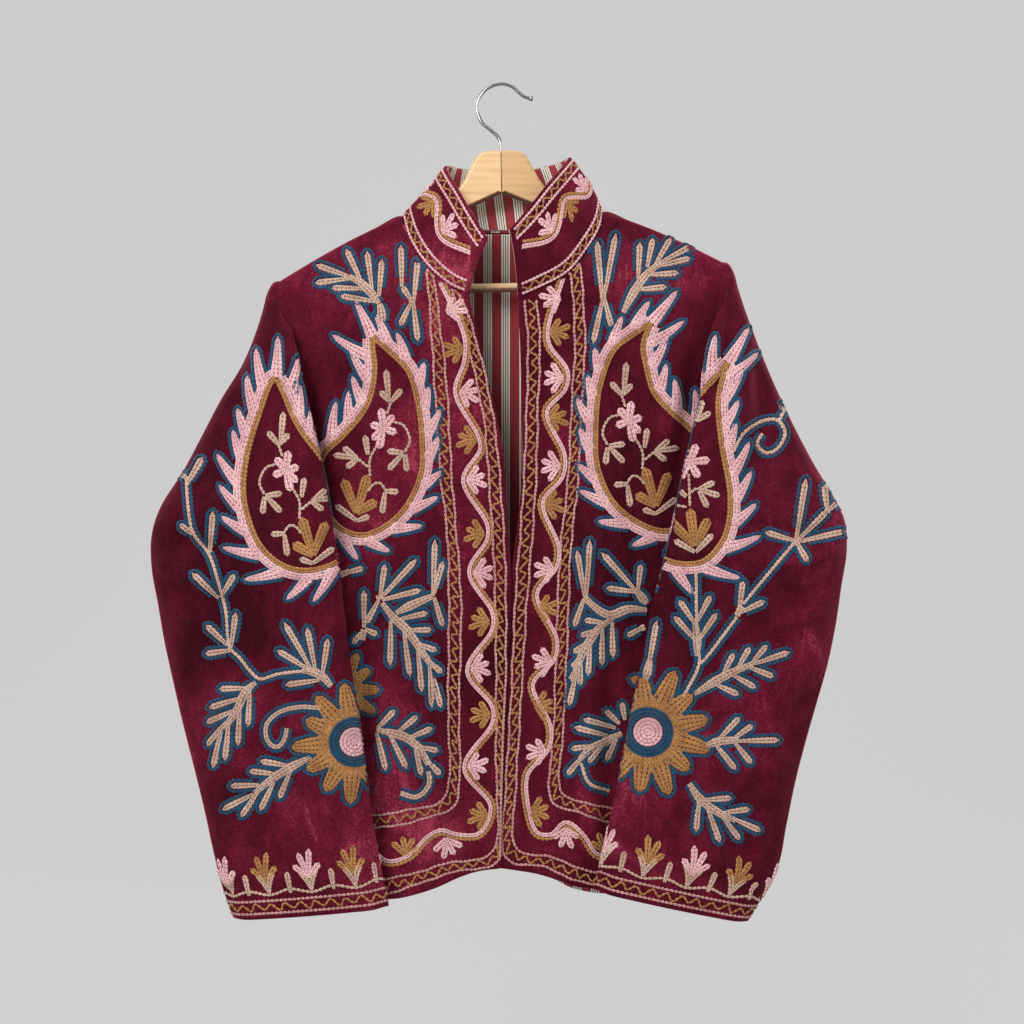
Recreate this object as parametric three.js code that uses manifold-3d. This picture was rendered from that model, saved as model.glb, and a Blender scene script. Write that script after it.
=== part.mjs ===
// Suzani jacket hanging open-necked on a wooden hanger.
// Millimetres, +Z up, the fronts face -Y. The origin is under the top of the hook, where it hangs.
import * as THREE from 'three';
import { mergeVertices } from 'three/addons/utils/BufferGeometryUtils.js';
import Module from 'manifold-3d';

const wasm = await Module();
wasm.setup();

const v3 = (x, y, z) => new THREE.Vector3(x, y, z);
const { lerp, smoothstep, clamp } = THREE.MathUtils;

// Cloth walls and seams
const VELVET_WALL = 2.4;
const LINING_WALL = 1;
const SEAM_GAP = 0.3;
const LINING_GAP = 0.5;

// Body, flattened on the hanger: depth in front of and behind the shoulder line
const FRONT_DEPTH = 38;
const BACK_DEPTH = 34;
const SHOULDER_ROUND = 11;
const CHEST_EASE = 120;
const SIDE_SQUARENESS = 2.6;
const SHOULDER_BOW = 3;
const MIDDLE_X = 3;
const MIDDLE_BLEND = { from: -60, to: 66 };

// The left front tucks behind the right one: how far, from which share of its width, and the
// heights between which the tuck grows
const TUCK = { depth: 4.5, share: 0.72, top: -440, full: -520 };

// Each half of the body: x grows away from the middle, so both halves share their functions.
// sign is the side of the picture, neck and tip are the ends of the shoulder seam.
const RIGHT = {
  sign: -1,
  neck: { x: 100.4, z: -134.5 },
  tip: { x: 223.6, z: -200.8 },
  armhole: [
    { z: -200.8, x: 223.6, flare: 84 },
    { z: -221, x: 216, flare: 76 },
    { z: -243, x: 210.4, flare: 62 },
    { z: -290, x: 207.5, flare: 44 },
    { z: -342, x: 213, flare: 26 },
    { z: -380, x: 222, flare: 9 },
    { z: -396, x: 228, flare: 0 },
  ],
  side: [
    { z: -396, x: 228 },
    { z: -520, x: 231 },
    { z: -680, x: 235 },
    { z: -828, x: 240 },
  ],
  neckline: [
    { x: 100.4, z: -134.5 },
    { x: 90.3, z: -167.4 },
    { x: 74.6, z: -190.1 },
    { x: 49.1, z: -212.7 },
    { x: 31.1, z: -220.2 },
  ],
  edge: [
    { z: -220.2, x: 31.1 },
    { z: -274.9, x: 19.1 },
    { z: -324.7, x: 7.2 },
    { z: -379.4, x: -3.7 },
    { z: -424.2, x: -6.2 },
    { z: -464, x: -8.7 },
    { z: -513.7, x: -11.7 },
    { z: -563.5, x: -9.2 },
    { z: -623, x: -5.2 },
    { z: -723, x: -1.8 },
    { z: -790.3, x: -0.8 },
  ],
  hem: [
    { x: -0.8, z: -790.3 },
    { x: 29.1, z: -794.8 },
    { x: 58.9, z: -806.2 },
    { x: 88.8, z: -817.5 },
    { x: 113.7, z: -821.5 },
    { x: 240, z: -828 },
  ],
};

const LEFT = {
  sign: 1,
  neck: { x: 106.4, z: -130 },
  tip: { x: 226.6, z: -181.4 },
  armhole: [
    { z: -181.4, x: 226.6, flare: 84 },
    { z: -205, x: 223, flare: 76 },
    { z: -243, x: 217, flare: 60 },
    { z: -286, x: 209, flare: 44 },
    { z: -338, x: 215, flare: 26 },
    { z: -380, x: 226, flare: 9 },
    { z: -396, x: 232, flare: 0 },
  ],
  side: [
    { z: -396, x: 232 },
    { z: -520, x: 235 },
    { z: -680, x: 239 },
    { z: -828, x: 244 },
  ],
  neckline: [
    { x: 106.4, z: -130 },
    { x: 103, z: -149.6 },
    { x: 88.2, z: -176.5 },
    { x: 66.7, z: -201.1 },
    { x: 41.6, z: -214.8 },
    { x: 19.7, z: -224.2 },
  ],
  edge: [
    { z: -224.2, x: 19.7 },
    { z: -274.9, x: 21.7 },
    { z: -324.7, x: 22.7 },
    { z: -384.4, x: 23.6 },
    { z: -424.2, x: 21.7 },
    { z: -464, x: 17.2 },
    { z: -513.7, x: 10.7 },
    { z: -563.5, x: 4.7 },
    { z: -623, x: 0.7 },
    { z: -723, x: -2.2 },
    { z: -790.3, x: -3.2 },
  ],
  hem: [
    { x: -3.2, z: -791.5 },
    { x: 40, z: -797.5 },
    { x: 60.5, z: -804.3 },
    { x: 90.3, z: -815.2 },
    { x: 112, z: -818.5 },
    { x: 244, z: -828 },
  ],
};

// Main folds of the fronts and back. A fold runs from top to bottom; rise is towards the outside.
const FRONT_FOLDS = [
  { top: { x: -52, z: -560 }, bottom: { x: -49, z: -850 }, width: 15, rise: 6, step: 5 },
  { top: { x: -150, z: -250 }, bottom: { x: -132, z: -560 }, width: 22, rise: -3, step: 0 },
  { top: { x: 150, z: -240 }, bottom: { x: 128, z: -600 }, width: 22, rise: -3, step: 0 },
  { top: { x: 60, z: -560 }, bottom: { x: 66, z: -850 }, width: 18, rise: 3.5, step: 0 },
];
const BACK_FOLDS = [
  { top: { x: -60, z: -420 }, bottom: { x: -82, z: -850 }, width: 22, rise: 5, step: 0 },
  { top: { x: 74, z: -380 }, bottom: { x: 96, z: -850 }, width: 24, rise: 5, step: 0 },
  { top: { x: 0, z: -500 }, bottom: { x: 4, z: -850 }, width: 26, rise: -4, step: 0 },
];

const BACK_NECK = [
  { x: -100.4, z: -134.5 },
  { x: -84, z: -142.5 },
  { x: -50, z: -148 },
  { x: 0, z: -149.5 },
  { x: 52, z: -147 },
  { x: 90, z: -139.5 },
  { x: 106.4, z: -130 },
];
const BACK_HEM = [
  { x: -240, z: -828 },
  { x: -110, z: -821 },
  { x: 0, z: -802 },
  { x: 75, z: -818 },
  { x: 110, z: -823 },
  { x: 244, z: -828 },
];

// Growth of a fold from its top, the fall of its step, and where folds die out near the sides
const FOLD_GROWTH = 0.45;
const STEP_STEEPNESS = 1.6;
const STEP_FADE = 0.08;
const FOLD_SIDES = { from: 0.3, to: 0.8 };

// Grid of the panels: the shoulder takes its share of the columns, crowded towards the side
const SHOULDER_SHARE = 0.58;
const SHOULDER_COLUMNS = 7;
const COLUMN_CROWDING = 1.6;
const CAP_CROWDING = 1.7;
const NECK_COLUMNS = 5;
const BACK_NECK_COLUMNS = 8;
const CAP_ROWS = 6;
const UNDERARM_ROWS = 5;
const SIDE_ROWS = 8;
const CAP_DEPTH = 43;

// Sleeves. Each row is a ring: outer edge o, front crease c, underarm side u, and how far the
// front and the rear of the ring swell from the line between its edges.
const SLEEVE_RIGHT = [
  { o: [-241.4, -4, -234.9], c: [-204.5, -36, -262.8], u: [-241, -10, -398], front: 9, rear: 24 },
  { o: [-256.6, -10, -280.2], c: [-195.2, -46, -300.5], u: [-237, -24, -404], front: 13, rear: 29 },
  { o: [-286.9, -16, -333.2], c: [-182.3, -54, -350.4], u: [-220, -38, -418], front: 17, rear: 26 },
  { o: [-313.3, -20, -386.8], c: [-171.8, -60, -399.8], u: [-193, -42, -442], front: 19, rear: 20 },
  { o: [-340.6, -24, -432.1], c: [-164.7, -63, -443.9], u: [-178, -46, -466], front: 20, rear: 16 },
  { o: [-349.8, -28, -472.1], c: [-158.8, -64, -488], u: [-166, -49, -499], front: 20, rear: 14 },
  { o: [-343.3, -30, -516.1], c: [-154.9, -64, -527.2], u: [-160, -51, -532], front: 20, rear: 13 },
  { o: [-335.3, -30, -564.1], c: [-149, -64, -576.2], u: [-154, -51, -580], front: 19, rear: 13 },
  { o: [-324.3, -30, -614.1], c: [-142.1, -64, -620.3], u: [-147, -51, -623], front: 18, rear: 13 },
  { o: [-311.3, -30, -669.1], c: [-135.3, -64, -669.3], u: [-140, -51, -671], front: 17, rear: 13 },
  { o: [-298.3, -30, -719.1], c: [-129.4, -63, -718.3], u: [-134, -50, -719], front: 16, rear: 13 },
  { o: [-288.3, -31, -764.1], c: [-122.5, -62, -762.3], u: [-127, -49, -762], front: 15, rear: 13 },
  { o: [-277.3, -35, -806.1], c: [-115.7, -61, -798.6], u: [-120, -51, -798], front: 16, rear: 12 },
  { o: [-264.3, -40, -839.1], c: [-110.8, -61, -822.2], u: [-115, -51, -822], front: 16, rear: 12 },
];
const SLEEVE_LEFT = [
  { o: [243.5, -4, -213], c: [212, -36, -254], u: [248, -10, -396], front: 9, rear: 24 },
  { o: [257, -10, -255], c: [203, -46, -290], u: [243, -24, -402], front: 13, rear: 29 },
  { o: [281, -16, -316], c: [197, -54, -330], u: [226, -39, -416], front: 17, rear: 26 },
  { o: [312, -20, -380], c: [187, -60, -372], u: [199, -42, -436], front: 19, rear: 20 },
  { o: [335.5, -24, -421], c: [180, -63, -407], u: [187, -46, -447], front: 20, rear: 16 },
  { o: [348.5, -28, -455], c: [172, -64, -447], u: [179, -49, -470], front: 20, rear: 14 },
  { o: [343.7, -30, -498], c: [163.5, -64, -486], u: [169, -51, -494], front: 20, rear: 13 },
  { o: [337, -30, -546], c: [153, -64, -527], u: [158, -51, -532], front: 19, rear: 13 },
  { o: [327, -30, -594], c: [144, -64, -573], u: [149, -51, -576], front: 18, rear: 13 },
  { o: [313, -30, -642], c: [135, -64, -618], u: [140, -51, -620], front: 17, rear: 13 },
  { o: [300, -30, -690], c: [126, -64, -664], u: [131, -51, -666], front: 16, rear: 13 },
  { o: [289, -31, -737], c: [117, -63, -709], u: [122, -50, -710], front: 15, rear: 13 },
  { o: [279.5, -36, -785], c: [107, -62, -757], u: [112, -51, -758], front: 16, rear: 12 },
  { o: [247, -42, -842], c: [95.5, -61, -806], u: [100, -51, -807], front: 16, rear: 12 },
];
const SLEEVE_RINGS = 21;
const RING_FRONT = CAP_ROWS;
const RING_INSIDE = UNDERARM_ROWS;
const RING_REAR = 9;
const RING_CROWDING = 1.25;
const SEAM_RUN = 7;
const SEAM_SPREAD = 0.12;
const SEAM_DROP = { tip: 3, below: 1 };
const UNDERARM_TURN = { above: 52, length: 40 };
const CREASE_ROUND = 4;
const EDGE_BLUNTNESS = 0.7;
const CUFF_LINING_RINGS = 3;
const CUFF_LINING_FACE = { width: 0.93, depth: 3.1 };
const CUFF_LINING_BACK = { width: 0.9, depth: 4.1 };
const INSET_LEAST = 0.3;
const INSET_CENTRE = 0.01;

// Top edge of the stand collar, from the right front end round the back to the left front end.
// along is the share of the neck seam that lies before that point.
const COLLAR_TOP = [
  { along: 0, x: -12.5, y: -46, z: -165 },
  { along: 0.1, x: -26, y: -38, z: -142 },
  { along: 0.21, x: -43, y: -22, z: -110 },
  { along: 0.29, x: -56, y: 0, z: -84 },
  { along: 0.37, x: -45, y: 22, z: -82 },
  { along: 0.5, x: 4, y: 34, z: -86 },
  { along: 0.63, x: 60, y: 24, z: -77 },
  { along: 0.71, x: 72.5, y: 0, z: -75 },
  { along: 0.8, x: 52, y: -24, z: -103 },
  { along: 0.9, x: 31, y: -38, z: -132 },
  { along: 1, x: 11.5, y: -46, z: -156 },
];
const COLLAR_ROWS = 4;
const COLLAR_SWELL = 4;
const COLLAR_SEAM_GAP = 0.4;
const COLLAR_SIDE_GAP = 1.15;
const COLLAR_SIDE_DEPTH = { from: 20, to: 32 };
const NECK_MIDDLE = v3(MIDDLE_X, 0, -110);
const COLLAR_LINING_SHORT = 0.12;

// Wooden hanger, hung a little askew: one half's outline, mirrored for the other half
const HANGER_TILT = THREE.MathUtils.degToRad(1.2);
const HANGER_THICK = 10.4;
const HANGER_EDGE_ROUND = 3.5;
const HANGER_EDGE_STEPS = 2;
const HANGER_REACH = 300;
const HANGER_TOP = [
  [0, -68.5], [14, -68.6], [22, -71], [27.5, -77.5], [33, -88], [41.7, -102.7], [56, -118.5],
  [97, -143.5], [160, -172], [213, -199],
];
const HANGER_END = [[218.5, -204], [217, -214], [209, -221.5]];
const HANGER_UNDER = [[197, -220], [182, -206], [150, -184.5], [92, -154], [37, -127.5], [0, -111.5]];
const GLUE_LINE = 0.3;
const BAR_RADIUS = 4.6;
const BAR_Z = -207.6;
const BAR_HALF = 198;
const BAR_SOCKET = { from: 141, to: 201 };
const BAR_SIDES = 20;
const PEG_CLEARANCE = 0.3;

// Bent hook of round wire: its centre line from inside the crown to the free end
const WIRE_RADIUS = 1.9;
const HOOK_ROUTE = [
  [0, -90], [0, -66], [-0.6, -57], [-4.2, -50.4], [-11.7, -43.4], [-18.6, -37.4], [-22.6, -28.2],
  [-23.6, -20.6], [-20.8, -11.6], [-14.2, -3.6], [-5.6, 0.9], [4.2, 1.9], [13, -1.2],
  [19.8, -7.4], [24.8, -11.4], [31.6, -13.6],
];
const HOOK_STEPS = 36;
const HOOK_ARC_SIDES = 5;
const HOOK_BALL = { radius: 2.9, around: 12, up: 8 };
const HOOK_SOCKET = { floor: -92.6, length: 40, sides: 16 };
const WELD = 1e-4;

const COLOURS = {
  velvet: { color: '#5a1226', roughness: 0.85, metalness: 0 },
  lining: { color: '#9c2f34', roughness: 0.7, metalness: 0 },
  wood: { color: '#e2b884', roughness: 0.5, metalness: 0 },
  chrome: { color: '#b8b8b8', roughness: 0.2, metalness: 1 },
};

// Value of a column of a table at a place between its rows
function along(table, key, value, column) {
  const rising = table[table.length - 1][key] > table[0][key];
  const place = (row) => (rising ? row[key] : -row[key]);
  const at = rising ? value : -value;
  let next = table.findIndex((row) => place(row) >= at);
  next = next < 0 ? table.length - 1 : Math.max(next, 1);
  const before = table[next - 1];
  const after = table[next];
  const share = clamp((at - place(before)) / (place(after) - place(before)), 0, 1);
  return lerp(before[column], after[column], share);
}

// Smooth curve through the x and z of a table's rows
function curveOf(table, sign = 1) {
  const points = table.map((row) => v3(row.x * sign, 0, row.z));
  return new THREE.CatmullRomCurve3(points, false, 'centripetal');
}

function shoulderLine(half, away) {
  const share = (away - half.neck.x) / (half.tip.x - half.neck.x);
  const bow = SHOULDER_BOW * Math.sin(Math.PI * clamp(share, 0, 1));
  return lerp(half.neck.z, half.tip.z, share) + bow;
}

function halfOf(x) {
  return x < MIDDLE_X ? RIGHT : LEFT;
}

// Height of the shoulder line over any x, eased where the two halves meet over the neck
function shoulderOver(x) {
  const blend = smoothstep(x, MIDDLE_BLEND.from, MIDDLE_BLEND.to);
  return lerp(shoulderLine(RIGHT, -x), shoulderLine(LEFT, x), blend);
}

// Half-width of the body's flattened section at a height, wider than the armhole so that it stays open
function sectionHalf(half, z) {
  if (z < half.side[0].z) return along(half.side, 'z', z, 'x');
  return along(half.armhole, 'z', z, 'x') + along(half.armhole, 'z', z, 'flare');
}

function foldRise(folds, x, z) {
  let rise = 0;
  for (const fold of folds) {
    const down = (fold.top.z - z) / (fold.top.z - fold.bottom.z);
    const middle = lerp(fold.top.x, fold.bottom.x, clamp(down, 0, 1));
    const across = (x - middle) / fold.width;
    const ridge = fold.rise * Math.exp(-across * across);
    const step = fold.step * (1 - Math.tanh(across * STEP_STEEPNESS)) / 2;
    rise += smoothstep(down, 0, FOLD_GROWTH) * (ridge + step * Math.exp(-across * across * STEP_FADE));
  }
  return rise;
}

// How far the cloth stands from the plane of the hanger at a place on a panel
function bodyDepth(depth, folds, x, z) {
  const half = halfOf(x);
  const below = Math.max(shoulderOver(x) - z, 0);
  const turned = 1 - Math.min(below, SHOULDER_ROUND) / SHOULDER_ROUND;
  const shoulder = SHOULDER_ROUND * Math.sqrt(1 - turned * turned);
  const chest = (depth - SHOULDER_ROUND) * smoothstep(below, 0, CHEST_EASE);
  const ratio = clamp(Math.abs(x) / sectionHalf(half, z), 0, 1);
  const side = Math.pow(1 - Math.pow(ratio, SIDE_SQUARENESS), 1 / SIDE_SQUARENESS);
  const swell = foldRise(folds, x, z) * smoothstep(side, FOLD_SIDES.from, FOLD_SIDES.to);
  return Math.max((shoulder + chest) * side + swell, SEAM_GAP / 2);
}

// Shares of the column places, close together near a side seam
function columnShares() {
  const shares = [];
  for (let i = 0; i < SHOULDER_COLUMNS; i += 1) {
    shares.push(SHOULDER_SHARE * Math.pow(i / SHOULDER_COLUMNS, COLUMN_CROWDING));
  }
  for (let i = 0; i <= NECK_COLUMNS; i += 1) shares.push(lerp(SHOULDER_SHARE, 1, i / NECK_COLUMNS));
  return shares;
}

// Heights of the rows at the armhole and the side seam
function sideHeights(half) {
  const tip = half.tip.z;
  const under = half.side[0].z;
  const hem = half.side[half.side.length - 1].z;
  const heights = [];
  for (let i = 0; i < CAP_ROWS; i += 1) {
    heights.push(tip - CAP_DEPTH * Math.pow(i / CAP_ROWS, CAP_CROWDING));
  }
  for (let i = 0; i <= UNDERARM_ROWS; i += 1) heights.push(lerp(tip - CAP_DEPTH, under, i / UNDERARM_ROWS));
  for (let i = 1; i <= SIDE_ROWS; i += 1) heights.push(lerp(under, hem, i / SIDE_ROWS));
  return heights;
}

function sidePlace(half, z) {
  const table = z < half.side[0].z ? half.side : half.armhole;
  return v3(half.sign * along(table, 'z', z, 'x'), 0, z);
}

function shoulderPlace(half, share) {
  const away = lerp(half.tip.x, half.neck.x, share);
  return v3(half.sign * away, 0, shoulderLine(half, away));
}

// A panel's flat outline filled in between its four boundaries
function filled(top, bottom, left, right, across, down) {
  const corners = [top(0), top(1), bottom(0), bottom(1)];
  const edgeMix = top(across).multiplyScalar(1 - down).add(bottom(across).multiplyScalar(down));
  edgeMix.add(left(down).multiplyScalar(1 - across)).add(right(down).multiplyScalar(across));
  edgeMix.sub(corners[0].multiplyScalar((1 - across) * (1 - down)));
  edgeMix.sub(corners[1].multiplyScalar(across * (1 - down)));
  edgeMix.sub(corners[2].multiplyScalar((1 - across) * down));
  edgeMix.sub(corners[3].multiplyScalar(across * down));
  return edgeMix;
}

function frontRows(half) {
  const neckline = curveOf(half.neckline, half.sign);
  const edge = curveOf(half.edge, half.sign);
  const hem = curveOf(half.hem, half.sign);
  const heights = sideHeights(half);
  const hemZ = heights[heights.length - 1];
  const top = (share) => {
    if (share <= SHOULDER_SHARE) return shoulderPlace(half, share / SHOULDER_SHARE);
    return neckline.getPoint(Math.min((share - SHOULDER_SHARE) / (1 - SHOULDER_SHARE), 1));
  };
  const bottom = (share) => hem.getPointAt(1 - share);
  const left = (down) => sidePlace(half, lerp(half.tip.z, hemZ, down));
  const right = (down) => edge.getPointAt(down);
  return heights.map((z) => {
    const down = (half.tip.z - z) / (half.tip.z - hemZ);
    return columnShares().map((share) => {
      const point = filled(top, bottom, left, right, share, down);
      point.y = -bodyDepth(FRONT_DEPTH, FRONT_FOLDS, point.x, point.z);
      if (half === LEFT) point.y += tuck(share, point.z);
      return point;
    });
  });
}

// The left front runs behind the right one below the open neck
function tuck(share, z) {
  return TUCK.depth * smoothstep(share, TUCK.share, 1) * smoothstep(-z, -TUCK.top, -TUCK.full);
}

function backRows() {
  const neck = curveOf(BACK_NECK);
  const hem = curveOf(BACK_HEM);
  const heights = sideHeights(RIGHT);
  const otherHeights = sideHeights(LEFT);
  const neckStart = SHOULDER_SHARE / 2;
  const neckEnd = 1 - neckStart;
  const shares = columnShares().slice(0, SHOULDER_COLUMNS).map((share) => share / 2);
  for (let i = 0; i <= BACK_NECK_COLUMNS; i += 1) {
    shares.push(lerp(neckStart, neckEnd, i / BACK_NECK_COLUMNS));
  }
  for (let i = SHOULDER_COLUMNS - 1; i >= 0; i -= 1) shares.push(1 - shares[i]);
  const top = (share) => {
    if (share <= neckStart) return shoulderPlace(RIGHT, share / neckStart);
    if (share >= neckEnd) return shoulderPlace(LEFT, (1 - share) / neckStart);
    return neck.getPoint((share - neckStart) / (neckEnd - neckStart));
  };
  const bottom = (share) => hem.getPointAt(share);
  return heights.map((z, row) => {
    const down = (RIGHT.tip.z - z) / (RIGHT.tip.z - heights[heights.length - 1]);
    const left = () => sidePlace(RIGHT, z);
    const right = () => sidePlace(LEFT, otherHeights[row]);
    return shares.map((share) => {
      const point = filled(top, bottom, left, right, share, down);
      point.y = bodyDepth(BACK_DEPTH, BACK_FOLDS, point.x, point.z);
      return point;
    });
  });
}

// Outward normals of a grid of points; a ring's columns join up
function normalsOf(rows, ring) {
  const height = rows.length;
  const width = rows[0].length;
  return rows.map((row, i) => row.map((point, j) => {
    const above = rows[Math.max(i - 1, 0)][j];
    const below = rows[Math.min(i + 1, height - 1)][j];
    const before = ring ? row[(j + width - 1) % width] : row[Math.max(j - 1, 0)];
    const after = ring ? row[(j + 1) % width] : row[Math.min(j + 1, width - 1)];
    return below.clone().sub(above).cross(after.clone().sub(before)).normalize();
  }));
}

function flipped(normals) {
  return normals.map((row) => row.map((normal) => normal.clone().negate()));
}

// Along a seam in the plane of the hanger both panels are thickened straight inwards
function squared(normals, rows) {
  return normals.map((row, i) => row.map((normal, j) => {
    if (Math.abs(rows[i][j].y) > SEAM_GAP) return normal;
    return normal.clone().setY(0).normalize();
  }));
}

function moved(rows, normals, distance) {
  return rows.map((row, i) => row.map((point, j) => point.clone().addScaledVector(normals[i][j], distance)));
}

// A closed wall between an outer and an inner grid of points
function wallGeometry(outer, inner, ring) {
  const height = outer.length;
  const width = outer[0].length;
  const positions = [];
  for (const rows of [outer, inner]) {
    for (const row of rows) {
      for (const point of row) positions.push(point.x, point.y, point.z);
    }
  }
  const index = [];
  const place = (layer, i, j) => (layer * height + i) * width + (j % width);
  const quad = (a, b, c, d) => index.push(a, b, c, a, c, d);
  const spans = ring ? width : width - 1;
  for (let j = 0; j < spans; j += 1) {
    for (let i = 0; i < height - 1; i += 1) {
      quad(place(0, i, j), place(0, i + 1, j), place(0, i + 1, j + 1), place(0, i, j + 1));
      quad(place(1, i, j), place(1, i, j + 1), place(1, i + 1, j + 1), place(1, i + 1, j));
    }
    quad(place(0, 0, j), place(0, 0, j + 1), place(1, 0, j + 1), place(1, 0, j));
    const last = height - 1;
    quad(place(0, last, j + 1), place(0, last, j), place(1, last, j), place(1, last, j + 1));
  }
  if (!ring) {
    const end = width - 1;
    for (let i = 0; i < height - 1; i += 1) {
      quad(place(0, i + 1, 0), place(0, i, 0), place(1, i, 0), place(1, i + 1, 0));
      quad(place(0, i, end), place(0, i + 1, end), place(1, i + 1, end), place(1, i, end));
    }
  }
  const geometry = new THREE.BufferGeometry();
  geometry.setAttribute('position', new THREE.Float32BufferAttribute(positions, 3));
  geometry.setIndex(index);
  return signedVolume(geometry) < 0 ? turned(geometry) : geometry;
}

function signedVolume(geometry) {
  const position = geometry.getAttribute('position');
  const index = geometry.getIndex();
  const [a, b, c] = [v3(), v3(), v3()];
  let volume = 0;
  for (let i = 0; i < index.count; i += 3) {
    a.fromBufferAttribute(position, index.getX(i));
    b.fromBufferAttribute(position, index.getX(i + 1));
    c.fromBufferAttribute(position, index.getX(i + 2));
    volume += a.dot(b.cross(c)) / 6;
  }
  return volume;
}

function turned(geometry) {
  const index = Array.from(geometry.getIndex().array);
  for (let i = 0; i < index.length; i += 3) [index[i], index[i + 1]] = [index[i + 1], index[i]];
  geometry.setIndex(index);
  return geometry;
}

// How near a height on the armhole is to the underarm, where the sleeve turns across the side
function lowness(half, z) {
  return smoothstep(half.side[0].z + UNDERARM_TURN.above - z, 0, UNDERARM_TURN.length);
}

// Armhole seam as a ring: down the front to the underarm and up the back, with the panels' normals
function armholeRing(half, front, frontNormals, back, backNormals) {
  const points = [];
  const normals = [];
  const push = (point, normal) => {
    const low = lowness(half, point.z);
    points.push(point.clone().add(v3(half.sign * SEAM_GAP, 0, 2 * SEAM_GAP * low)));
    normals.push(normal);
  };
  const backColumn = half === RIGHT ? 0 : back[0].length - 1;
  const last = CAP_ROWS + UNDERARM_ROWS;
  for (let i = 0; i <= last; i += 1) push(front[i][0], frontNormals[i][0]);
  const heights = sideHeights(half);
  const tip = heights[0];
  const under = heights[last];
  for (let i = 1; i < RING_REAR; i += 1) {
    const z = lerp(under, tip, i / RING_REAR);
    let next = heights.findIndex((height) => height <= z);
    next = Math.max(next, 1);
    const share = (heights[next - 1] - z) / (heights[next - 1] - heights[next]);
    const point = back[next - 1][backColumn].clone().lerp(back[next][backColumn], share);
    const normal = backNormals[next - 1][backColumn].clone().lerp(backNormals[next][backColumn], share);
    push(point, normal.normalize());
  }
  return { points, normals };
}

// One ring of a sleeve from its row of the table
function sleeveRing(row, sign) {
  const [outer, crease, under] = [row.o, row.c, row.u].map((place) => v3(...place));
  const points = [];
  const arc = (from, to, count, swell) => {
    for (let i = 0; i < count; i += 1) {
      const turn = Math.PI * i / count;
      const point = from.clone().lerp(to, (1 - Math.cos(turn)) / 2);
      points.push(point.addScaledVector(swell, Math.pow(Math.sin(turn), EDGE_BLUNTNESS)));
    }
  };
  arc(outer, crease, RING_FRONT, v3(0, -row.front, 0));
  arc(crease, under, RING_INSIDE, v3(-sign * CREASE_ROUND, 0, 0));
  arc(under, outer, RING_REAR, v3(0, row.rear, 0));
  return points;
}

// All rings of a sleeve: the seam, a short run straight out of it, and the table's rings
function sleeveRows(half, table, seam) {
  const run = seam.points.map((point) => {
    const drop = lerp(SEAM_DROP.tip, SEAM_DROP.below, smoothstep(half.tip.z - point.z, 0, CAP_DEPTH));
    return point.clone().add(v3(half.sign * SEAM_RUN, point.y * SEAM_SPREAD, -drop));
  });
  const stations = [seam.points, run, ...table.map((row) => sleeveRing(row, half.sign))];
  const rails = seam.points.map((_, j) => (
    new THREE.CatmullRomCurve3(stations.map((station) => station[j]), false, 'centripetal')
  ));
  const rows = [];
  for (let i = 0; i <= SLEEVE_RINGS; i += 1) {
    const share = Math.pow(i / SLEEVE_RINGS, RING_CROWDING);
    rows.push(rails.map((rail) => rail.getPoint(share)));
  }
  return rows;
}

// Rings drawn in towards their middle: by a share of their width and by a depth in millimetres
function inset(rows, by) {
  return rows.map((row) => {
    const across = row[RING_FRONT].clone().sub(row[0]).normalize();
    const middle = row[RING_FRONT].clone().add(row[0]).multiplyScalar(0.5);
    const parts = row.map((point) => {
      const offset = point.clone().sub(middle);
      const wide = across.clone().multiplyScalar(offset.dot(across));
      return { wide, deep: offset.sub(wide) };
    });
    return parts.map(({ wide, deep }) => {
      const share = Math.max(1 - by.depth / (deep.length() + INSET_CENTRE), INSET_LEAST);
      return middle.clone().addScaledVector(wide, by.width).addScaledVector(deep, share);
    });
  });
}

// Neck seam from the right front end, over the shoulder, round the back and to the left front end
function neckSeam(front, back, other, ways) {
  const first = SHOULDER_COLUMNS;
  const line = (right, behind, left) => [
    ...right[0].slice(first).reverse(),
    ...behind[0].slice(first + 1, first + BACK_NECK_COLUMNS),
    ...left[0].slice(first),
  ];
  const edge = line(front, back, other);
  const normals = line(ways.frontRight, ways.back, ways.frontLeft);
  return edge.map((point, j) => {
    const tangent = edge[Math.min(j + 1, edge.length - 1)].clone().sub(edge[Math.max(j - 1, 0)]).normalize();
    const off = tangent.cross(normals[j]).normalize();
    const inwards = NECK_MIDDLE.clone().sub(point);
    const frontness = smoothstep(Math.abs(point.y), COLLAR_SIDE_DEPTH.from, COLLAR_SIDE_DEPTH.to);
    const gap = lerp(COLLAR_SIDE_GAP, COLLAR_SEAM_GAP, frontness);
    return point.clone().addScaledVector(off, gap * Math.sign(off.dot(inwards)));
  });
}

function collarTop() {
  const points = COLLAR_TOP.map((row) => v3(row.x, row.y, row.z));
  const curve = new THREE.CatmullRomCurve3(points, false, 'centripetal');
  return (share) => {
    let next = COLLAR_TOP.findIndex((row) => row.along >= share);
    next = Math.max(next, 1);
    const [before, after] = [COLLAR_TOP[next - 1], COLLAR_TOP[next]];
    const part = (share - before.along) / (after.along - before.along);
    return curve.getPoint((next - 1 + part) / (COLLAR_TOP.length - 1));
  };
}

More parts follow.
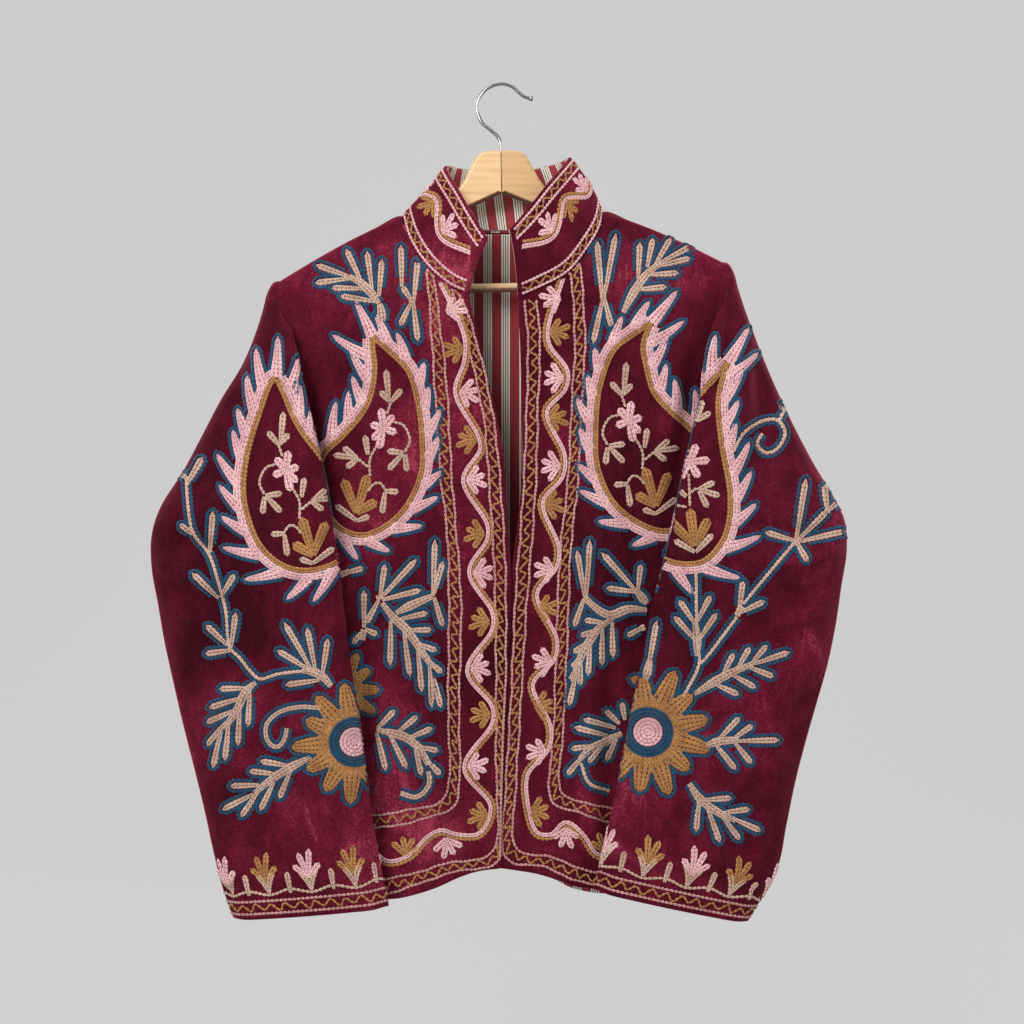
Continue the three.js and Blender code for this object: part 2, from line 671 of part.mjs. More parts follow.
function collarRows(seam) {
  const top = collarTop();
  const lengths = [0];
  for (let i = 1; i < seam.length; i += 1) lengths.push(lengths[i - 1] + seam[i].distanceTo(seam[i - 1]));
  const total = lengths[lengths.length - 1];
  const rows = [];
  for (let i = 0; i <= COLLAR_ROWS; i += 1) rows.push([]);
  seam.forEach((foot, j) => {
    const head = top(lengths[j] / total);
    const outward = v3(foot.x - MIDDLE_X, foot.y, 0).normalize();
    for (let i = 0; i <= COLLAR_ROWS; i += 1) {
      const share = i / COLLAR_ROWS;
      const point = foot.clone().lerp(head, share);
      rows[COLLAR_ROWS - i].push(point.addScaledVector(outward, COLLAR_SWELL * Math.sin(Math.PI * share)));
    }
  });
  return rows;
}

// Solids from closed meshes, for the few cuts in the wood and the ball on the hook
function solidOf(geometry) {
  const bare = geometry.clone();
  bare.deleteAttribute('normal');
  bare.deleteAttribute('uv');
  const merged = mergeVertices(bare, WELD);
  const mesh = new wasm.Mesh({
    numProp: 3,
    vertProperties: new Float32Array(merged.getAttribute('position').array),
    triVerts: new Uint32Array(merged.getIndex().array),
  });
  return new wasm.Manifold(mesh);
}

function geometryOf(solid) {
  const mesh = solid.getMesh();
  const geometry = new THREE.BufferGeometry();
  geometry.setAttribute('position', new THREE.Float32BufferAttribute(mesh.vertProperties, 3));
  geometry.setIndex(Array.from(mesh.triVerts));
  return geometry;
}

function hangerOutline() {
  const half = [...HANGER_TOP, ...HANGER_END, ...HANGER_UNDER];
  const other = half.slice(1, -1).reverse().map(([x, z]) => [-x, z]);
  return new THREE.Shape([...half, ...other].map(([x, z]) => new THREE.Vector2(x, z)));
}

function hangerWood() {
  const geometry = new THREE.ExtrudeGeometry(hangerOutline(), {
    depth: HANGER_THICK - 2 * HANGER_EDGE_ROUND,
    bevelThickness: HANGER_EDGE_ROUND,
    bevelSize: HANGER_EDGE_ROUND,
    bevelOffset: -HANGER_EDGE_ROUND,
    bevelSegments: HANGER_EDGE_STEPS,
  });
  geometry.translate(0, 0, HANGER_EDGE_ROUND - HANGER_THICK / 2);
  geometry.rotateX(Math.PI / 2);
  return solidOf(geometry);
}

function rodAlongX(radius, from, to) {
  const rod = new THREE.CylinderGeometry(radius, radius, to - from, BAR_SIDES);
  rod.rotateZ(Math.PI / 2);
  rod.translate((from + to) / 2, 0, BAR_Z);
  return rod;
}

function hookSocket() {
  const radius = WIRE_RADIUS + PEG_CLEARANCE;
  const socket = new THREE.CylinderGeometry(radius, radius, HOOK_SOCKET.length, HOOK_SOCKET.sides);
  socket.rotateX(Math.PI / 2);
  socket.translate(0, 0, HOOK_SOCKET.floor + HOOK_SOCKET.length / 2);
  return solidOf(socket);
}

function hangerArm(sign) {
  const halfSpace = new THREE.BoxGeometry(HANGER_REACH, HANGER_REACH, HANGER_REACH);
  halfSpace.translate(sign * (HANGER_REACH + GLUE_LINE) / 2, 0, -HANGER_REACH / 2);
  const ends = [sign * BAR_SOCKET.from, sign * BAR_SOCKET.to].sort((a, b) => a - b);
  const barSocket = solidOf(rodAlongX(BAR_RADIUS + PEG_CLEARANCE, ends[0], ends[1]));
  return geometryOf(hangerWood().intersect(solidOf(halfSpace)).subtract(hookSocket()).subtract(barSocket));
}

function hangerHook() {
  const points = HOOK_ROUTE.map(([x, z]) => v3(x, 0, z - WIRE_RADIUS));
  const route = new THREE.CatmullRomCurve3(points, false, 'centripetal');
  const section = new THREE.Shape();
  section.absarc(0, 0, WIRE_RADIUS, 0, 2 * Math.PI, false);
  const wire = new THREE.ExtrudeGeometry(section, {
    steps: HOOK_STEPS,
    curveSegments: HOOK_ARC_SIDES,
    bevelEnabled: false,
    extrudePath: route,
  });
  const ball = new THREE.SphereGeometry(HOOK_BALL.radius, HOOK_BALL.around, HOOK_BALL.up);
  const end = points[points.length - 1];
  ball.translate(end.x, end.y, end.z);
  return geometryOf(solidOf(wire).add(solidOf(ball)));
}

function named(name, geometry, look) {
  const mesh = new THREE.Mesh(geometry, new THREE.MeshStandardMaterial(look));
  mesh.name = name;
  return mesh;
}

// The jacket's cloth
function cloth() {
  const jacket = new THREE.Group();
  const frontRight = frontRows(RIGHT);
  const frontLeft = frontRows(LEFT);
  const back = backRows();
  const outward = (rows, ring, direction) => {
    const normals = normalsOf(rows, ring);
    const middle = normals[Math.floor(rows.length / 2)][Math.floor(rows[0].length / 2)];
    return squared(middle.dot(direction) < 0 ? flipped(normals) : normals, rows);
  };
  const normals = {
    frontRight: outward(frontRight, false, v3(0, -1, 0)),
    frontLeft: outward(frontLeft, false, v3(0, -1, 0)),
    back: outward(back, false, v3(0, 1, 0)),
  };
  const velvet = (name, rows, ways, ring) => (
    jacket.add(named(name, wallGeometry(rows, moved(rows, ways, -VELVET_WALL), ring), COLOURS.velvet))
  );
  const lining = (name, rows, ways) => {
    const face = moved(rows, ways, -VELVET_WALL - LINING_GAP);
    const inside = moved(rows, ways, -VELVET_WALL - LINING_GAP - LINING_WALL);
    jacket.add(named(name, wallGeometry(face, inside, false), COLOURS.lining));
  };
  velvet('front_right', frontRight, normals.frontRight, false);
  velvet('front_left', frontLeft, normals.frontLeft, false);
  velvet('back', back, normals.back, false);
  lining('back_lining', back, normals.back);

  for (const [name, half, table, front, ways] of [
    ['right', RIGHT, SLEEVE_RIGHT, frontRight, normals.frontRight],
    ['left', LEFT, SLEEVE_LEFT, frontLeft, normals.frontLeft],
  ]) {
    const seam = armholeRing(half, front, ways, back, normals.back);
    const rows = sleeveRows(half, table, seam);
    const ringNormals = outward(rows, true, v3(0, 1, 0));
    ringNormals[0] = ringNormals[0].map((normal, j) => {
      const own = lowness(half, seam.points[j].z);
      return seam.normals[j].clone().multiplyScalar(1 - own).addScaledVector(normal, own).normalize();
    });
    velvet(`sleeve_${name}`, rows, ringNormals, true);
    const cuff = rows.slice(-CUFF_LINING_RINGS);
    const cuffLining = wallGeometry(inset(cuff, CUFF_LINING_FACE), inset(cuff, CUFF_LINING_BACK), true);
    jacket.add(named(`cuff_lining_${name}`, cuffLining, COLOURS.lining));
  }

  const seam = neckSeam(frontRight, back, frontLeft, normals);
  const collar = collarRows(seam);
  const collarNormals = outward(collar, false, v3(0, 1, 0));
  velvet('collar', collar, collarNormals, false);
  const shorter = (rows) => [...rows.slice(0, -1), rows[COLLAR_ROWS].map((end, j) => (
    end.clone().lerp(rows[COLLAR_ROWS - 1][j], COLLAR_LINING_SHORT)
  ))];
  lining('collar_lining', shorter(collar), shorter(collarNormals));
  return jacket;
}

function hanger() {
  const group = new THREE.Group();
  group.add(named('hanger_arm_right', hangerArm(RIGHT.sign), COLOURS.wood));
  group.add(named('hanger_arm_left', hangerArm(LEFT.sign), COLOURS.wood));
  const bar = geometryOf(solidOf(rodAlongX(BAR_RADIUS, -BAR_HALF, BAR_HALF)));
  group.add(named('hanger_bar', bar, COLOURS.wood));
  group.add(named('hanger_hook', hangerHook(), COLOURS.chrome));
  group.rotation.y = -HANGER_TILT;
  return group;
}

const part = new THREE.Group();
part.add(cloth(), hanger());
export default part;
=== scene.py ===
# Looks of the embroidered velvet jacket on its wooden hanger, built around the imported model.
# Surfaces are worked out in millimetres in the model's frame and become metres in the meshes.
import math

import bpy
import numpy as np
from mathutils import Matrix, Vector
from mathutils.bvhtree import BVHTree


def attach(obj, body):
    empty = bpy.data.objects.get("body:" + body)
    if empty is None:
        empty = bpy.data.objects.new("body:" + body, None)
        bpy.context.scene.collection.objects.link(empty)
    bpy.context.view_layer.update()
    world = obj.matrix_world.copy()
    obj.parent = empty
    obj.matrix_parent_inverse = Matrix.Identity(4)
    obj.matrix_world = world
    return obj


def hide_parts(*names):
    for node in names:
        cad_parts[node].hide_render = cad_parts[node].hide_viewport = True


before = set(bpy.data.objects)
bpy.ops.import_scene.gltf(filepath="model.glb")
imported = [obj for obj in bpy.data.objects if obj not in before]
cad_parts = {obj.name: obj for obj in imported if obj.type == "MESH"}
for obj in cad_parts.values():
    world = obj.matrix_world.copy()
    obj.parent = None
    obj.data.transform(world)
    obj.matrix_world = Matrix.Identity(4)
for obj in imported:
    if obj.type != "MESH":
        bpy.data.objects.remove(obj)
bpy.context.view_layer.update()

MM = 0.001

# Camera, straight on: place in millimetres, picture and focal length in pixels, sensor
EYE = np.array([12.7, -1630.0, -436.1])
PICTURE = 1024
FOCAL = 1600
SENSOR = 36

# Cloth
VELVET_WALL = 2.4
LINING_WALL = 1.0
LINING_GAP = 0.5
GRID_STEP = 4.5
RIM_BULGE = 0.9
SHARP_TURNS = (-0.1, 0.7)

# Creases: how deep, the step of their lines, the share at each end in which they fade, and on
# sleeves how far the surface faces the rear where the front's give way and where all fade
CREASE_DEPTH = 2.6
CREASE_STEP = 8
CREASE_FADE = 0.3
REAR_TURN = (-0.35, 0.35)
OUTLINE_TURN = (0.25, 0.75)

# Body, as in the model: depth in front of and behind the shoulder line, its roundness, the middle
FRONT_DEPTH = 38
BACK_DEPTH = 34
SHOULDER_ROUND = 11
CHEST_EASE = 120
SIDE_SQUARENESS = 2.6
SHOULDER_BOW = 3
SEAM_GAP = 0.3
SHOULDER_SHARE = 0.58
MIDDLE_X = 3
MIDDLE_BLEND = (-60, 66)

# The left front behind the right one: how far, in which share of a row, from which drop on
OVERLAP_BEHIND = 4.5
OVERLAP_SHARE = (0.72, 1)
OVERLAP_DROP = (440, 520)

# Folds: share of the length in which they grow, how steep and wide a step is, and how flat the
# side of the body may be under them
FOLD_GROWTH = 0.45
STEP_STEEPNESS = 1.6
STEP_FADE = 0.08
FOLD_SIDES = (0.3, 0.8)

# Each half: x grows away from the middle. armhole rows are z, x, flare; side, neckline, edge
# and hem rows are x, z.
RIGHT = {
    "sign": -1,
    "neck": (100.4, -134.5),
    "tip": (223.6, -200.8),
    "armhole": [(-200.8, 223.6, 84), (-221, 216, 76), (-243, 210.4, 62), (-290, 207.5, 44),
                (-342, 213, 26), (-380, 222, 9), (-396, 228, 0)],
    "side": [(228, -396), (231, -520), (235, -680), (240, -828)],
    "neckline": [(100.4, -134.5), (90.3, -167.4), (74.6, -190.1), (49.1, -212.7), (31.1, -220.2)],
    "edge": [(31.1, -220.2), (19.1, -274.9), (7.2, -324.7), (-3.7, -379.4), (-6.2, -424.2),
             (-8.7, -464), (-11.7, -513.7), (-9.2, -563.5), (-5.2, -623), (-1.8, -723),
             (-0.8, -790.3)],
    "hem": [(-0.8, -790.3), (29.1, -794.8), (58.9, -806.2), (88.8, -817.5), (113.7, -821.5),
            (240, -828)],
}
LEFT = {
    "sign": 1,
    "neck": (106.4, -130),
    "tip": (226.6, -181.4),
    "armhole": [(-181.4, 226.6, 84), (-205, 223, 76), (-243, 217, 60), (-286, 209, 44),
                (-338, 215, 26), (-380, 226, 9), (-396, 232, 0)],
    "side": [(232, -396), (235, -520), (239, -680), (244, -828)],
    "neckline": [(106.4, -130), (103, -149.6), (88.2, -176.5), (66.7, -201.1), (41.6, -214.8),
                 (19.7, -224.2)],
    "edge": [(19.7, -224.2), (21.7, -274.9), (22.7, -324.7), (23.6, -384.4), (21.7, -424.2),
             (17.2, -464), (10.7, -513.7), (4.7, -563.5), (0.7, -623), (-2.2, -723),
             (-3.2, -790.3)],
    "hem": [(-3.2, -791.5), (40, -797.5), (58, -802.2), (77, -808.8), (97, -811.5), (118, -816),
            (244, -828)],
}

# Main folds: top x, z, bottom x, z, width, rise, step
FRONT_FOLDS = [
    (-52, -560, -49, -850, 15, 6, 5),
    (-150, -250, -132, -560, 22, -3, 0),
    (150, -240, 128, -600, 22, -3, 0),
    (60, -560, 66, -850, 18, 3.5, 0),
]
BACK_FOLDS = [
    (-60, -420, -82, -850, 22, 5, 0),
    (74, -380, 96, -850, 24, 5, 0),
    (0, -500, 4, -850, 26, -4, 0),
]
BACK_NECK = [(-100.4, -134.5), (-84, -142.5), (-50, -148), (0, -149.5), (52, -147), (90, -139.5),
             (106.4, -130)]
BACK_HEM = [(-240, -828), (-110, -821), (0, -802), (56, -816), (79, -827.5), (97, -831.5), (140, -828),
            (244, -828)]

# Columns and rows of the cloth, and how they crowd at the shoulder's tip
SHOULDER_COLUMNS = 7
NECK_COLUMNS = 5
BACK_NECK_COLUMNS = 8
CAP_ROWS = 6
UNDERARM_ROWS = 5
SIDE_ROWS = 8
CAP_DEPTH = 43
COLUMN_CROWDING = 1.6
CAP_CROWDING = 1.7

# Sleeve rings: outer edge, front crease, underarm side, front swell, rear swell
SLEEVE_RIGHT = [
    ((-241.4, -4, -234.9), (-204.5, -36, -262.8), (-241, -10, -398), 9, 24),
    ((-256.6, -10, -280.2), (-195.2, -46, -300.5), (-237, -24, -404), 13, 29),
    ((-286.9, -16, -333.2), (-182.3, -54, -350.4), (-220, -38, -418), 17, 26),
    ((-313.3, -20, -386.8), (-171.8, -60, -399.8), (-193, -42, -442), 19, 20),
    ((-340.6, -24, -432.1), (-164.7, -63, -443.9), (-178, -46, -466), 20, 16),
    ((-349.8, -28, -472.1), (-158.8, -64, -488), (-166, -49, -499), 20, 14),
    ((-343.3, -30, -516.1), (-154.9, -64, -527.2), (-160, -51, -532), 20, 13),
    ((-335.3, -30, -564.1), (-149, -64, -576.2), (-154, -51, -580), 19, 13),
    ((-324.3, -30, -614.1), (-142.1, -64, -620.3), (-147, -51, -623), 18, 13),
    ((-311.3, -30, -669.1), (-135.3, -64, -669.3), (-140, -51, -671), 17, 13),
    ((-298.3, -30, -719.1), (-129.4, -63, -718.3), (-134, -50, -719), 16, 13),
    ((-288.3, -31, -764.1), (-122.5, -62, -762.3), (-127, -49, -762), 15, 13),
    ((-277.3, -35, -806.1), (-115.7, -61, -798.6), (-120, -51, -798), 16, 12),
    ((-264.3, -40, -839.1), (-110.8, -61, -822.2), (-115, -51, -822), 16, 12),
]
SLEEVE_LEFT = [
    ((243.5, -4, -213), (212, -36, -254), (248, -10, -396), 9, 24),
    ((257, -10, -255), (203, -46, -290), (243, -24, -402), 13, 29),
    ((281, -16, -316), (197, -54, -330), (226, -39, -416), 17, 26),
    ((312, -20, -380), (187, -60, -372), (199, -42, -436), 19, 20),
    ((335.5, -24, -421), (180, -63, -407), (187, -46, -447), 20, 16),
    ((348.5, -28, -455), (172, -64, -447), (179, -49, -470), 20, 14),
    ((343.7, -30, -498), (163.5, -64, -486), (169, -51, -494), 20, 13),
    ((337, -30, -546), (153, -64, -527), (158, -51, -532), 19, 13),
    ((327, -30, -594), (144, -64, -573), (149, -51, -576), 18, 13),
    ((313, -30, -642), (135, -64, -618), (140, -51, -620), 17, 13),
    ((300, -30, -690), (126, -64, -664), (131, -51, -666), 16, 13),
    ((289, -31, -737), (117, -63, -709), (122, -50, -710), 15, 13),
    ((279.5, -36, -785), (107, -62, -757), (112, -51, -758), 16, 12),
    ((247, -42, -842), (95.5, -61, -806), (100, -51, -807), 16, 12),
]
SLEEVE_RINGS = 21
RING_CROWDING = 1.25
RING_REAR = 9
SEAM_RUN = 7
SEAM_SPREAD = 0.12
SEAM_DROPS = (3, 1)
UNDERARM_TURN = (12, 52)
CREASE_ROUND = 4
EDGE_BLUNTNESS = 0.7

# How far a sleeve's seam is tucked under the body, and its shares at the shoulder's tip in front
# and behind, with the drops and depths in which they change
SEAM_TUCK = 2.2
FRONT_TIP_TUCK = 0.15
REAR_TIP_TUCK = 0.9
TUCK_DROP = (4, 40)
TUCK_DEPTH = (0, 8)

# How far linings stop short, in shares of a column or row, and the rows of a sleeve that one lines
BACK_LINING_STOP = 0.8
COLLAR_LINING_STOP = 0.6
CUFF_LINING_ROWS = slice(-22, -1)

# Top edge of the collar: share of the neck seam before the point, x, y, z
COLLAR_TOP = [
    (0, -12.5, -46, -165), (0.1, -26, -38, -142), (0.21, -43, -22, -110), (0.29, -56, 0, -84),
    (0.37, -45, 22, -82), (0.5, 4, 34, -86), (0.63, 60, 24, -77), (0.71, 72.5, 0, -75),
    (0.8, 52, -24, -103), (0.9, 31, -38, -132), (1, 11.5, -46, -156),
]
COLLAR_ROWS = 4
COLLAR_SWELL = 4
COLLAR_SEAM_GAP = 0.4
COLLAR_SIDE_GAP = 1.15
COLLAR_SIDE_DEPTH = (20, 32)
NECK_MIDDLE = np.array([3.0, 0, -110])

# Wooden hanger; its edges are rounded in steps, less at the joint of its halves
HANGER_TILT = math.radians(1.2)
HANGER_THICK = 10.4
HANGER_EDGE_ROUND = 3.5
HANGER_EDGE_STEPS = 6
JOINT_WIDTH = 1.2
JOINT_ROUND = 0.35
HANGER_STEP = 2.6
TUBE_STEP = 1.6
HANGER_HALF = [
    (0, -68.5), (14, -68.6), (22, -71), (27.5, -77.5), (33, -88), (41.7, -102.7), (56, -118.5),
    (97, -143.5), (160, -172), (213, -199), (218.5, -204), (217, -214), (209, -221.5),
    (197, -220), (182, -206), (150, -184.5), (92, -154), (37, -127.5), (0, -111.5),
]
GLUE_LINE = 0.3
BAR_RADIUS = 4.6
BAR_Z = -207.6
BAR_HALF = 198
WIRE_RADIUS = 1.9
HOOK_ROUTE = [
    (0, -90), (0, -66), (-0.6, -57), (-4.2, -50.4), (-11.7, -43.4), (-18.6, -37.4), (-22.6, -28.2),
    (-23.6, -20.6), (-20.8, -11.6), (-14.2, -3.6), (-5.6, 0.9), (4.2, 1.9), (13, -1.2),
    (19.8, -7.4), (24.8, -11.4), (31.6, -13.6),
]
HOOK_BALL = 2.9


# Curves and grids

def smoothstep(value, low, high):
    share = np.clip((value - low) / (high - low), 0, 1)
    return share * share * (3 - 2 * share)


def lerp(a, b, share):
    return a + (b - a) * share


def summed(steps):
    """Lengths from the start of a line to each of its points."""
    return np.concatenate([[0], np.cumsum(steps)])


CURVE_STEPS = 200


class Curve:
    """Smooth curve through points, with its lengths for even spacing."""

    def __init__(self, points):
        self.points = np.asarray(points, float)
        self.table = None

    def at(self, share):
        p = self.points
        last = len(p) - 1
        place = min(max(share, 0), 1) * last
        i = min(int(place), last - 1)
        w = place - i
        b, c = p[i], p[i + 1]
        a = p[i - 1] if i > 0 else 2 * b - c
        d = p[i + 2] if i + 2 <= last else 2 * c - b
        gaps = [max(float(np.dot(v, v)) ** 0.25, 1e-4) for v in (b - a, c - b, d - c)]
        t1 = ((b - a) / gaps[0] - (c - a) / (gaps[0] + gaps[1]) + (c - b) / gaps[1]) * gaps[1]
        t2 = ((c - b) / gaps[1] - (d - b) / (gaps[1] + gaps[2]) + (d - c) / gaps[2]) * gaps[1]
        return b + w * (t1 + w * (3 * (c - b) - 2 * t1 - t2 + w * (2 * (b - c) + t1 + t2)))

    def even(self, share):
        if self.table is None:
            places = np.array([self.at(i / CURVE_STEPS) for i in range(CURVE_STEPS + 1)])
            self.table = summed(np.linalg.norm(np.diff(places, axis=0), axis=1))
        shares = np.linspace(0, 1, CURVE_STEPS + 1)
        return self.at(np.interp(share * self.table[-1], self.table, shares))

    def sampled(self, step):
        self.even(0)
        count = max(int(round(self.table[-1] / step)), 1)
        return np.array([self.even(i / count) for i in range(count + 1)])


def flat_curve(points, sign=1):
    return Curve([(x * sign, 0, z) for x, z in points])


def shoulder_line(half, away):
    (near, high), (far, low) = half["neck"], half["tip"]
    share = (away - near) / (far - near)
    return lerp(high, low, share) + SHOULDER_BOW * math.sin(math.pi * min(max(share, 0), 1))


def shoulder_over(x):
    return lerp(shoulder_line(RIGHT, -x), shoulder_line(LEFT, x), smoothstep(x, *MIDDLE_BLEND))


def section_half(half, z):
    side = np.array(half["side"])
    if z < side[0, 1]:
        return np.interp(-z, -side[:, 1], side[:, 0])
    hole = np.array(half["armhole"], float)
    return np.interp(-z, -hole[:, 0], hole[:, 1] + hole[:, 2])


def fold_rise(folds, x, z):
    rise = 0
    for top_x, top_z, foot_x, foot_z, width, height, step in folds:
        down = (top_z - z) / (top_z - foot_z)
        across = (x - lerp(top_x, foot_x, min(max(down, 0), 1))) / width
        strength = smoothstep(down, 0, FOLD_GROWTH)
        rise += strength * height * math.exp(-across * across)
        drop = 0.5 - 0.5 * math.tanh(across * STEP_STEEPNESS)
        rise += strength * step * drop * math.exp(-across * across * STEP_FADE)
    return rise


def body_depth(depth, folds, x, z):
    half = RIGHT if x < MIDDLE_X else LEFT
    below = max(shoulder_over(x) - z, 0)
    turned = 1 - min(below, SHOULDER_ROUND) / SHOULDER_ROUND
    shoulder = SHOULDER_ROUND * math.sqrt(1 - turned * turned)
    chest = (depth - SHOULDER_ROUND) * smoothstep(below, 0, CHEST_EASE)
    ratio = min(abs(x) / section_half(half, z), 1)
    side = (1 - ratio ** SIDE_SQUARENESS) ** (1 / SIDE_SQUARENESS)
    swell = fold_rise(folds, x, z) * smoothstep(side, *FOLD_SIDES)
    return max((shoulder + chest) * side + swell, SEAM_GAP / 2)


def column_shares():
    steps = [i / SHOULDER_COLUMNS for i in range(SHOULDER_COLUMNS)]
    shares = [SHOULDER_SHARE * step ** COLUMN_CROWDING for step in steps]
    return shares + [lerp(SHOULDER_SHARE, 1, i / NECK_COLUMNS) for i in range(NECK_COLUMNS + 1)]


def side_heights(half):
    tip, under, hem = half["tip"][1], half["side"][0][1], half["side"][-1][1]
    heights = [tip - CAP_DEPTH * (i / CAP_ROWS) ** CAP_CROWDING for i in range(CAP_ROWS)]
    heights += [lerp(tip - CAP_DEPTH, under, i / UNDERARM_ROWS) for i in range(UNDERARM_ROWS + 1)]
    return heights + [lerp(under, hem, i / SIDE_ROWS) for i in range(1, SIDE_ROWS + 1)]


def side_place(half, z):
    if z < half["side"][0][1]:
        side = np.array(half["side"])
        x = np.interp(-z, -side[:, 1], side[:, 0])
    else:
        hole = np.array(half["armhole"], float)
        x = np.interp(-z, -hole[:, 0], hole[:, 1])
    return np.array([half["sign"] * x, 0, z])


def shoulder_place(half, share):
    away = lerp(half["tip"][0], half["neck"][0], share)
    return np.array([half["sign"] * away, 0, shoulder_line(half, away)])


def front_rows(half):
    neckline, edge, hem = (flat_curve(half[key], half["sign"]) for key in ("neckline", "edge", "hem"))
    heights = side_heights(half)
    tip, foot = half["tip"][1], heights[-1]

    def top(share):
        if share <= SHOULDER_SHARE:
            return shoulder_place(half, share / SHOULDER_SHARE)
        return neckline.at((share - SHOULDER_SHARE) / (1 - SHOULDER_SHARE))

    corners = [top(0), top(1), hem.even(1), hem.even(0)]
    rows = []
    for z in heights:
        down = (tip - z) / (tip - foot)
        row = []
        for share in column_shares():
            p = top(share) * (1 - down) + hem.even(1 - share) * down
            p = p + side_place(half, lerp(tip, foot, down)) * (1 - share) + edge.even(down) * share
            p = p - corners[0] * (1 - share) * (1 - down) - corners[1] * share * (1 - down)
            p = p - corners[2] * (1 - share) * down - corners[3] * share * down
            p[1] = -body_depth(FRONT_DEPTH, FRONT_FOLDS, p[0], p[2])
            if half is LEFT:
                tucked = smoothstep(share, *OVERLAP_SHARE) * smoothstep(-p[2], *OVERLAP_DROP)
                p[1] += OVERLAP_BEHIND * tucked
            row.append(p)
        rows.append(row)
    return np.array(rows)


def back_rows():
    neck, hem = flat_curve(BACK_NECK), flat_curve(BACK_HEM)
    heights, others = side_heights(RIGHT), side_heights(LEFT)
    start = SHOULDER_SHARE / 2
    shares = [share / 2 for share in column_shares()[:SHOULDER_COLUMNS]]
    shares += [lerp(start, 1 - start, i / BACK_NECK_COLUMNS) for i in range(BACK_NECK_COLUMNS + 1)]
    shares += [1 - shares[i] for i in range(SHOULDER_COLUMNS - 1, -1, -1)]

    def top(share):
        if share <= start:
            return shoulder_place(RIGHT, share / start)
        if share >= 1 - start:
            return shoulder_place(LEFT, (1 - share) / start)
        return neck.at((share - start) / (1 - 2 * start))

    corners = [top(0), top(1), hem.even(0), hem.even(1)]
    rows = []
    for z, other in zip(heights, others):
        down = (RIGHT["tip"][1] - z) / (RIGHT["tip"][1] - heights[-1])
        row = []
        for share in shares:
            p = top(share) * (1 - down) + hem.even(share) * down
            left = side_place(RIGHT, z) - corners[0] * (1 - down) - corners[2] * down
            right = side_place(LEFT, other) - corners[1] * (1 - down) - corners[3] * down
            p = p + left * (1 - share) + right * share
            p[1] = body_depth(BACK_DEPTH, BACK_FOLDS, p[0], p[2])
            row.append(p)
        rows.append(row)
    return np.array(rows)


def unit(v):
    return v / np.maximum(np.linalg.norm(v, axis=-1, keepdims=True), 1e-9)


def normals_of(grid, ring, outward):
    """Normals of a grid of points that face outward on average; a ring's columns join up."""
    down = np.empty_like(grid)
    down[1:-1] = grid[2:] - grid[:-2]
    down[0], down[-1] = grid[1] - grid[0], grid[-1] - grid[-2]
    if ring:
        across = np.roll(grid, -1, axis=1) - np.roll(grid, 1, axis=1)
    else:
        across = np.empty_like(grid)
        across[:, 1:-1] = grid[:, 2:] - grid[:, :-2]
        across[:, 0], across[:, -1] = grid[:, 1] - grid[:, 0], grid[:, -1] - grid[:, -2]
    normals = unit(np.cross(down, across))
    middle = normals[len(grid) // 2, grid.shape[1] // 2]
    return -normals if np.dot(middle, outward) < 0 else normals


def between(grid, axis, ring, step):
    """Smooth points between a grid's own along one axis, about one step apart."""
    grid = np.moveaxis(grid, axis, 0)
    if ring:
        grid = np.concatenate([grid[-2:], grid, grid[:3]])
    gaps = np.linalg.norm(np.diff(grid, axis=0), axis=-1).mean(axis=tuple(range(1, grid.ndim - 1)))
    gaps = np.maximum(gaps, 1e-3)
    slopes = np.diff(grid, axis=0) / gaps.reshape(-1, *[1] * (grid.ndim - 1))
    tangents = np.empty_like(grid)
    tangents[0], tangents[-1] = slopes[0], slopes[-1]
    before, after = (g.reshape(-1, *[1] * (grid.ndim - 1)) for g in (gaps[:-1], gaps[1:]))
    tangents[1:-1] = (slopes[:-1] * after + slopes[1:] * before) / (before + after)
    straight = np.sum(unit(slopes[:-1]) * unit(slopes[1:]), axis=-1, keepdims=True)
    tangents[1:-1] *= smoothstep(straight, *SHARP_TURNS)
    first, last = (2, len(grid) - 3) if ring else (0, len(grid) - 1)
    rows = []
    for i in range(first, last):
        count = max(int(math.ceil(gaps[i] / step)), 1)
        for k in range(count):
            w = k / count
            a = (1 + 2 * w) * (1 - w) ** 2
            b = w * w * (3 - 2 * w)
            c = w * (1 - w) ** 2 * gaps[i]
            d = w * w * (w - 1) * gaps[i]
            rows.append(a * grid[i] + b * grid[i + 1] + c * tangents[i] + d * tangents[i + 1])
    if not ring:
        rows.append(grid[-1])
    return np.moveaxis(np.array(rows), 0, axis)


def fine(grid, ring):
    return between(between(grid, 0, False, GRID_STEP), 1, ring, GRID_STEP)


# Sleeves and collar as grids

def lowness(half, z):
    """0 at the cap of a sleeve and 1 round its underarm."""
    return 1 - smoothstep(z - half["side"][0][1], *UNDERARM_TURN)


def armhole_ring(half, front, back):
    column = 0 if half is RIGHT else back.shape[1] - 1
    last = CAP_ROWS + UNDERARM_ROWS
    points = [front[i, 0] for i in range(last + 1)]
    heights = side_heights(half)
    for i in range(1, RING_REAR):
        z = lerp(heights[last], heights[0], i / RING_REAR)
        later = max(next(k for k, height in enumerate(heights) if height <= z), 1)
        share = (heights[later - 1] - z) / (heights[later - 1] - heights[later])
        points.append(lerp(back[later - 1, column], back[later, column], share))
    return [p + np.array([half["sign"] * SEAM_GAP, 0, 2 * SEAM_GAP * lowness(half, p[2])]) for p in points]


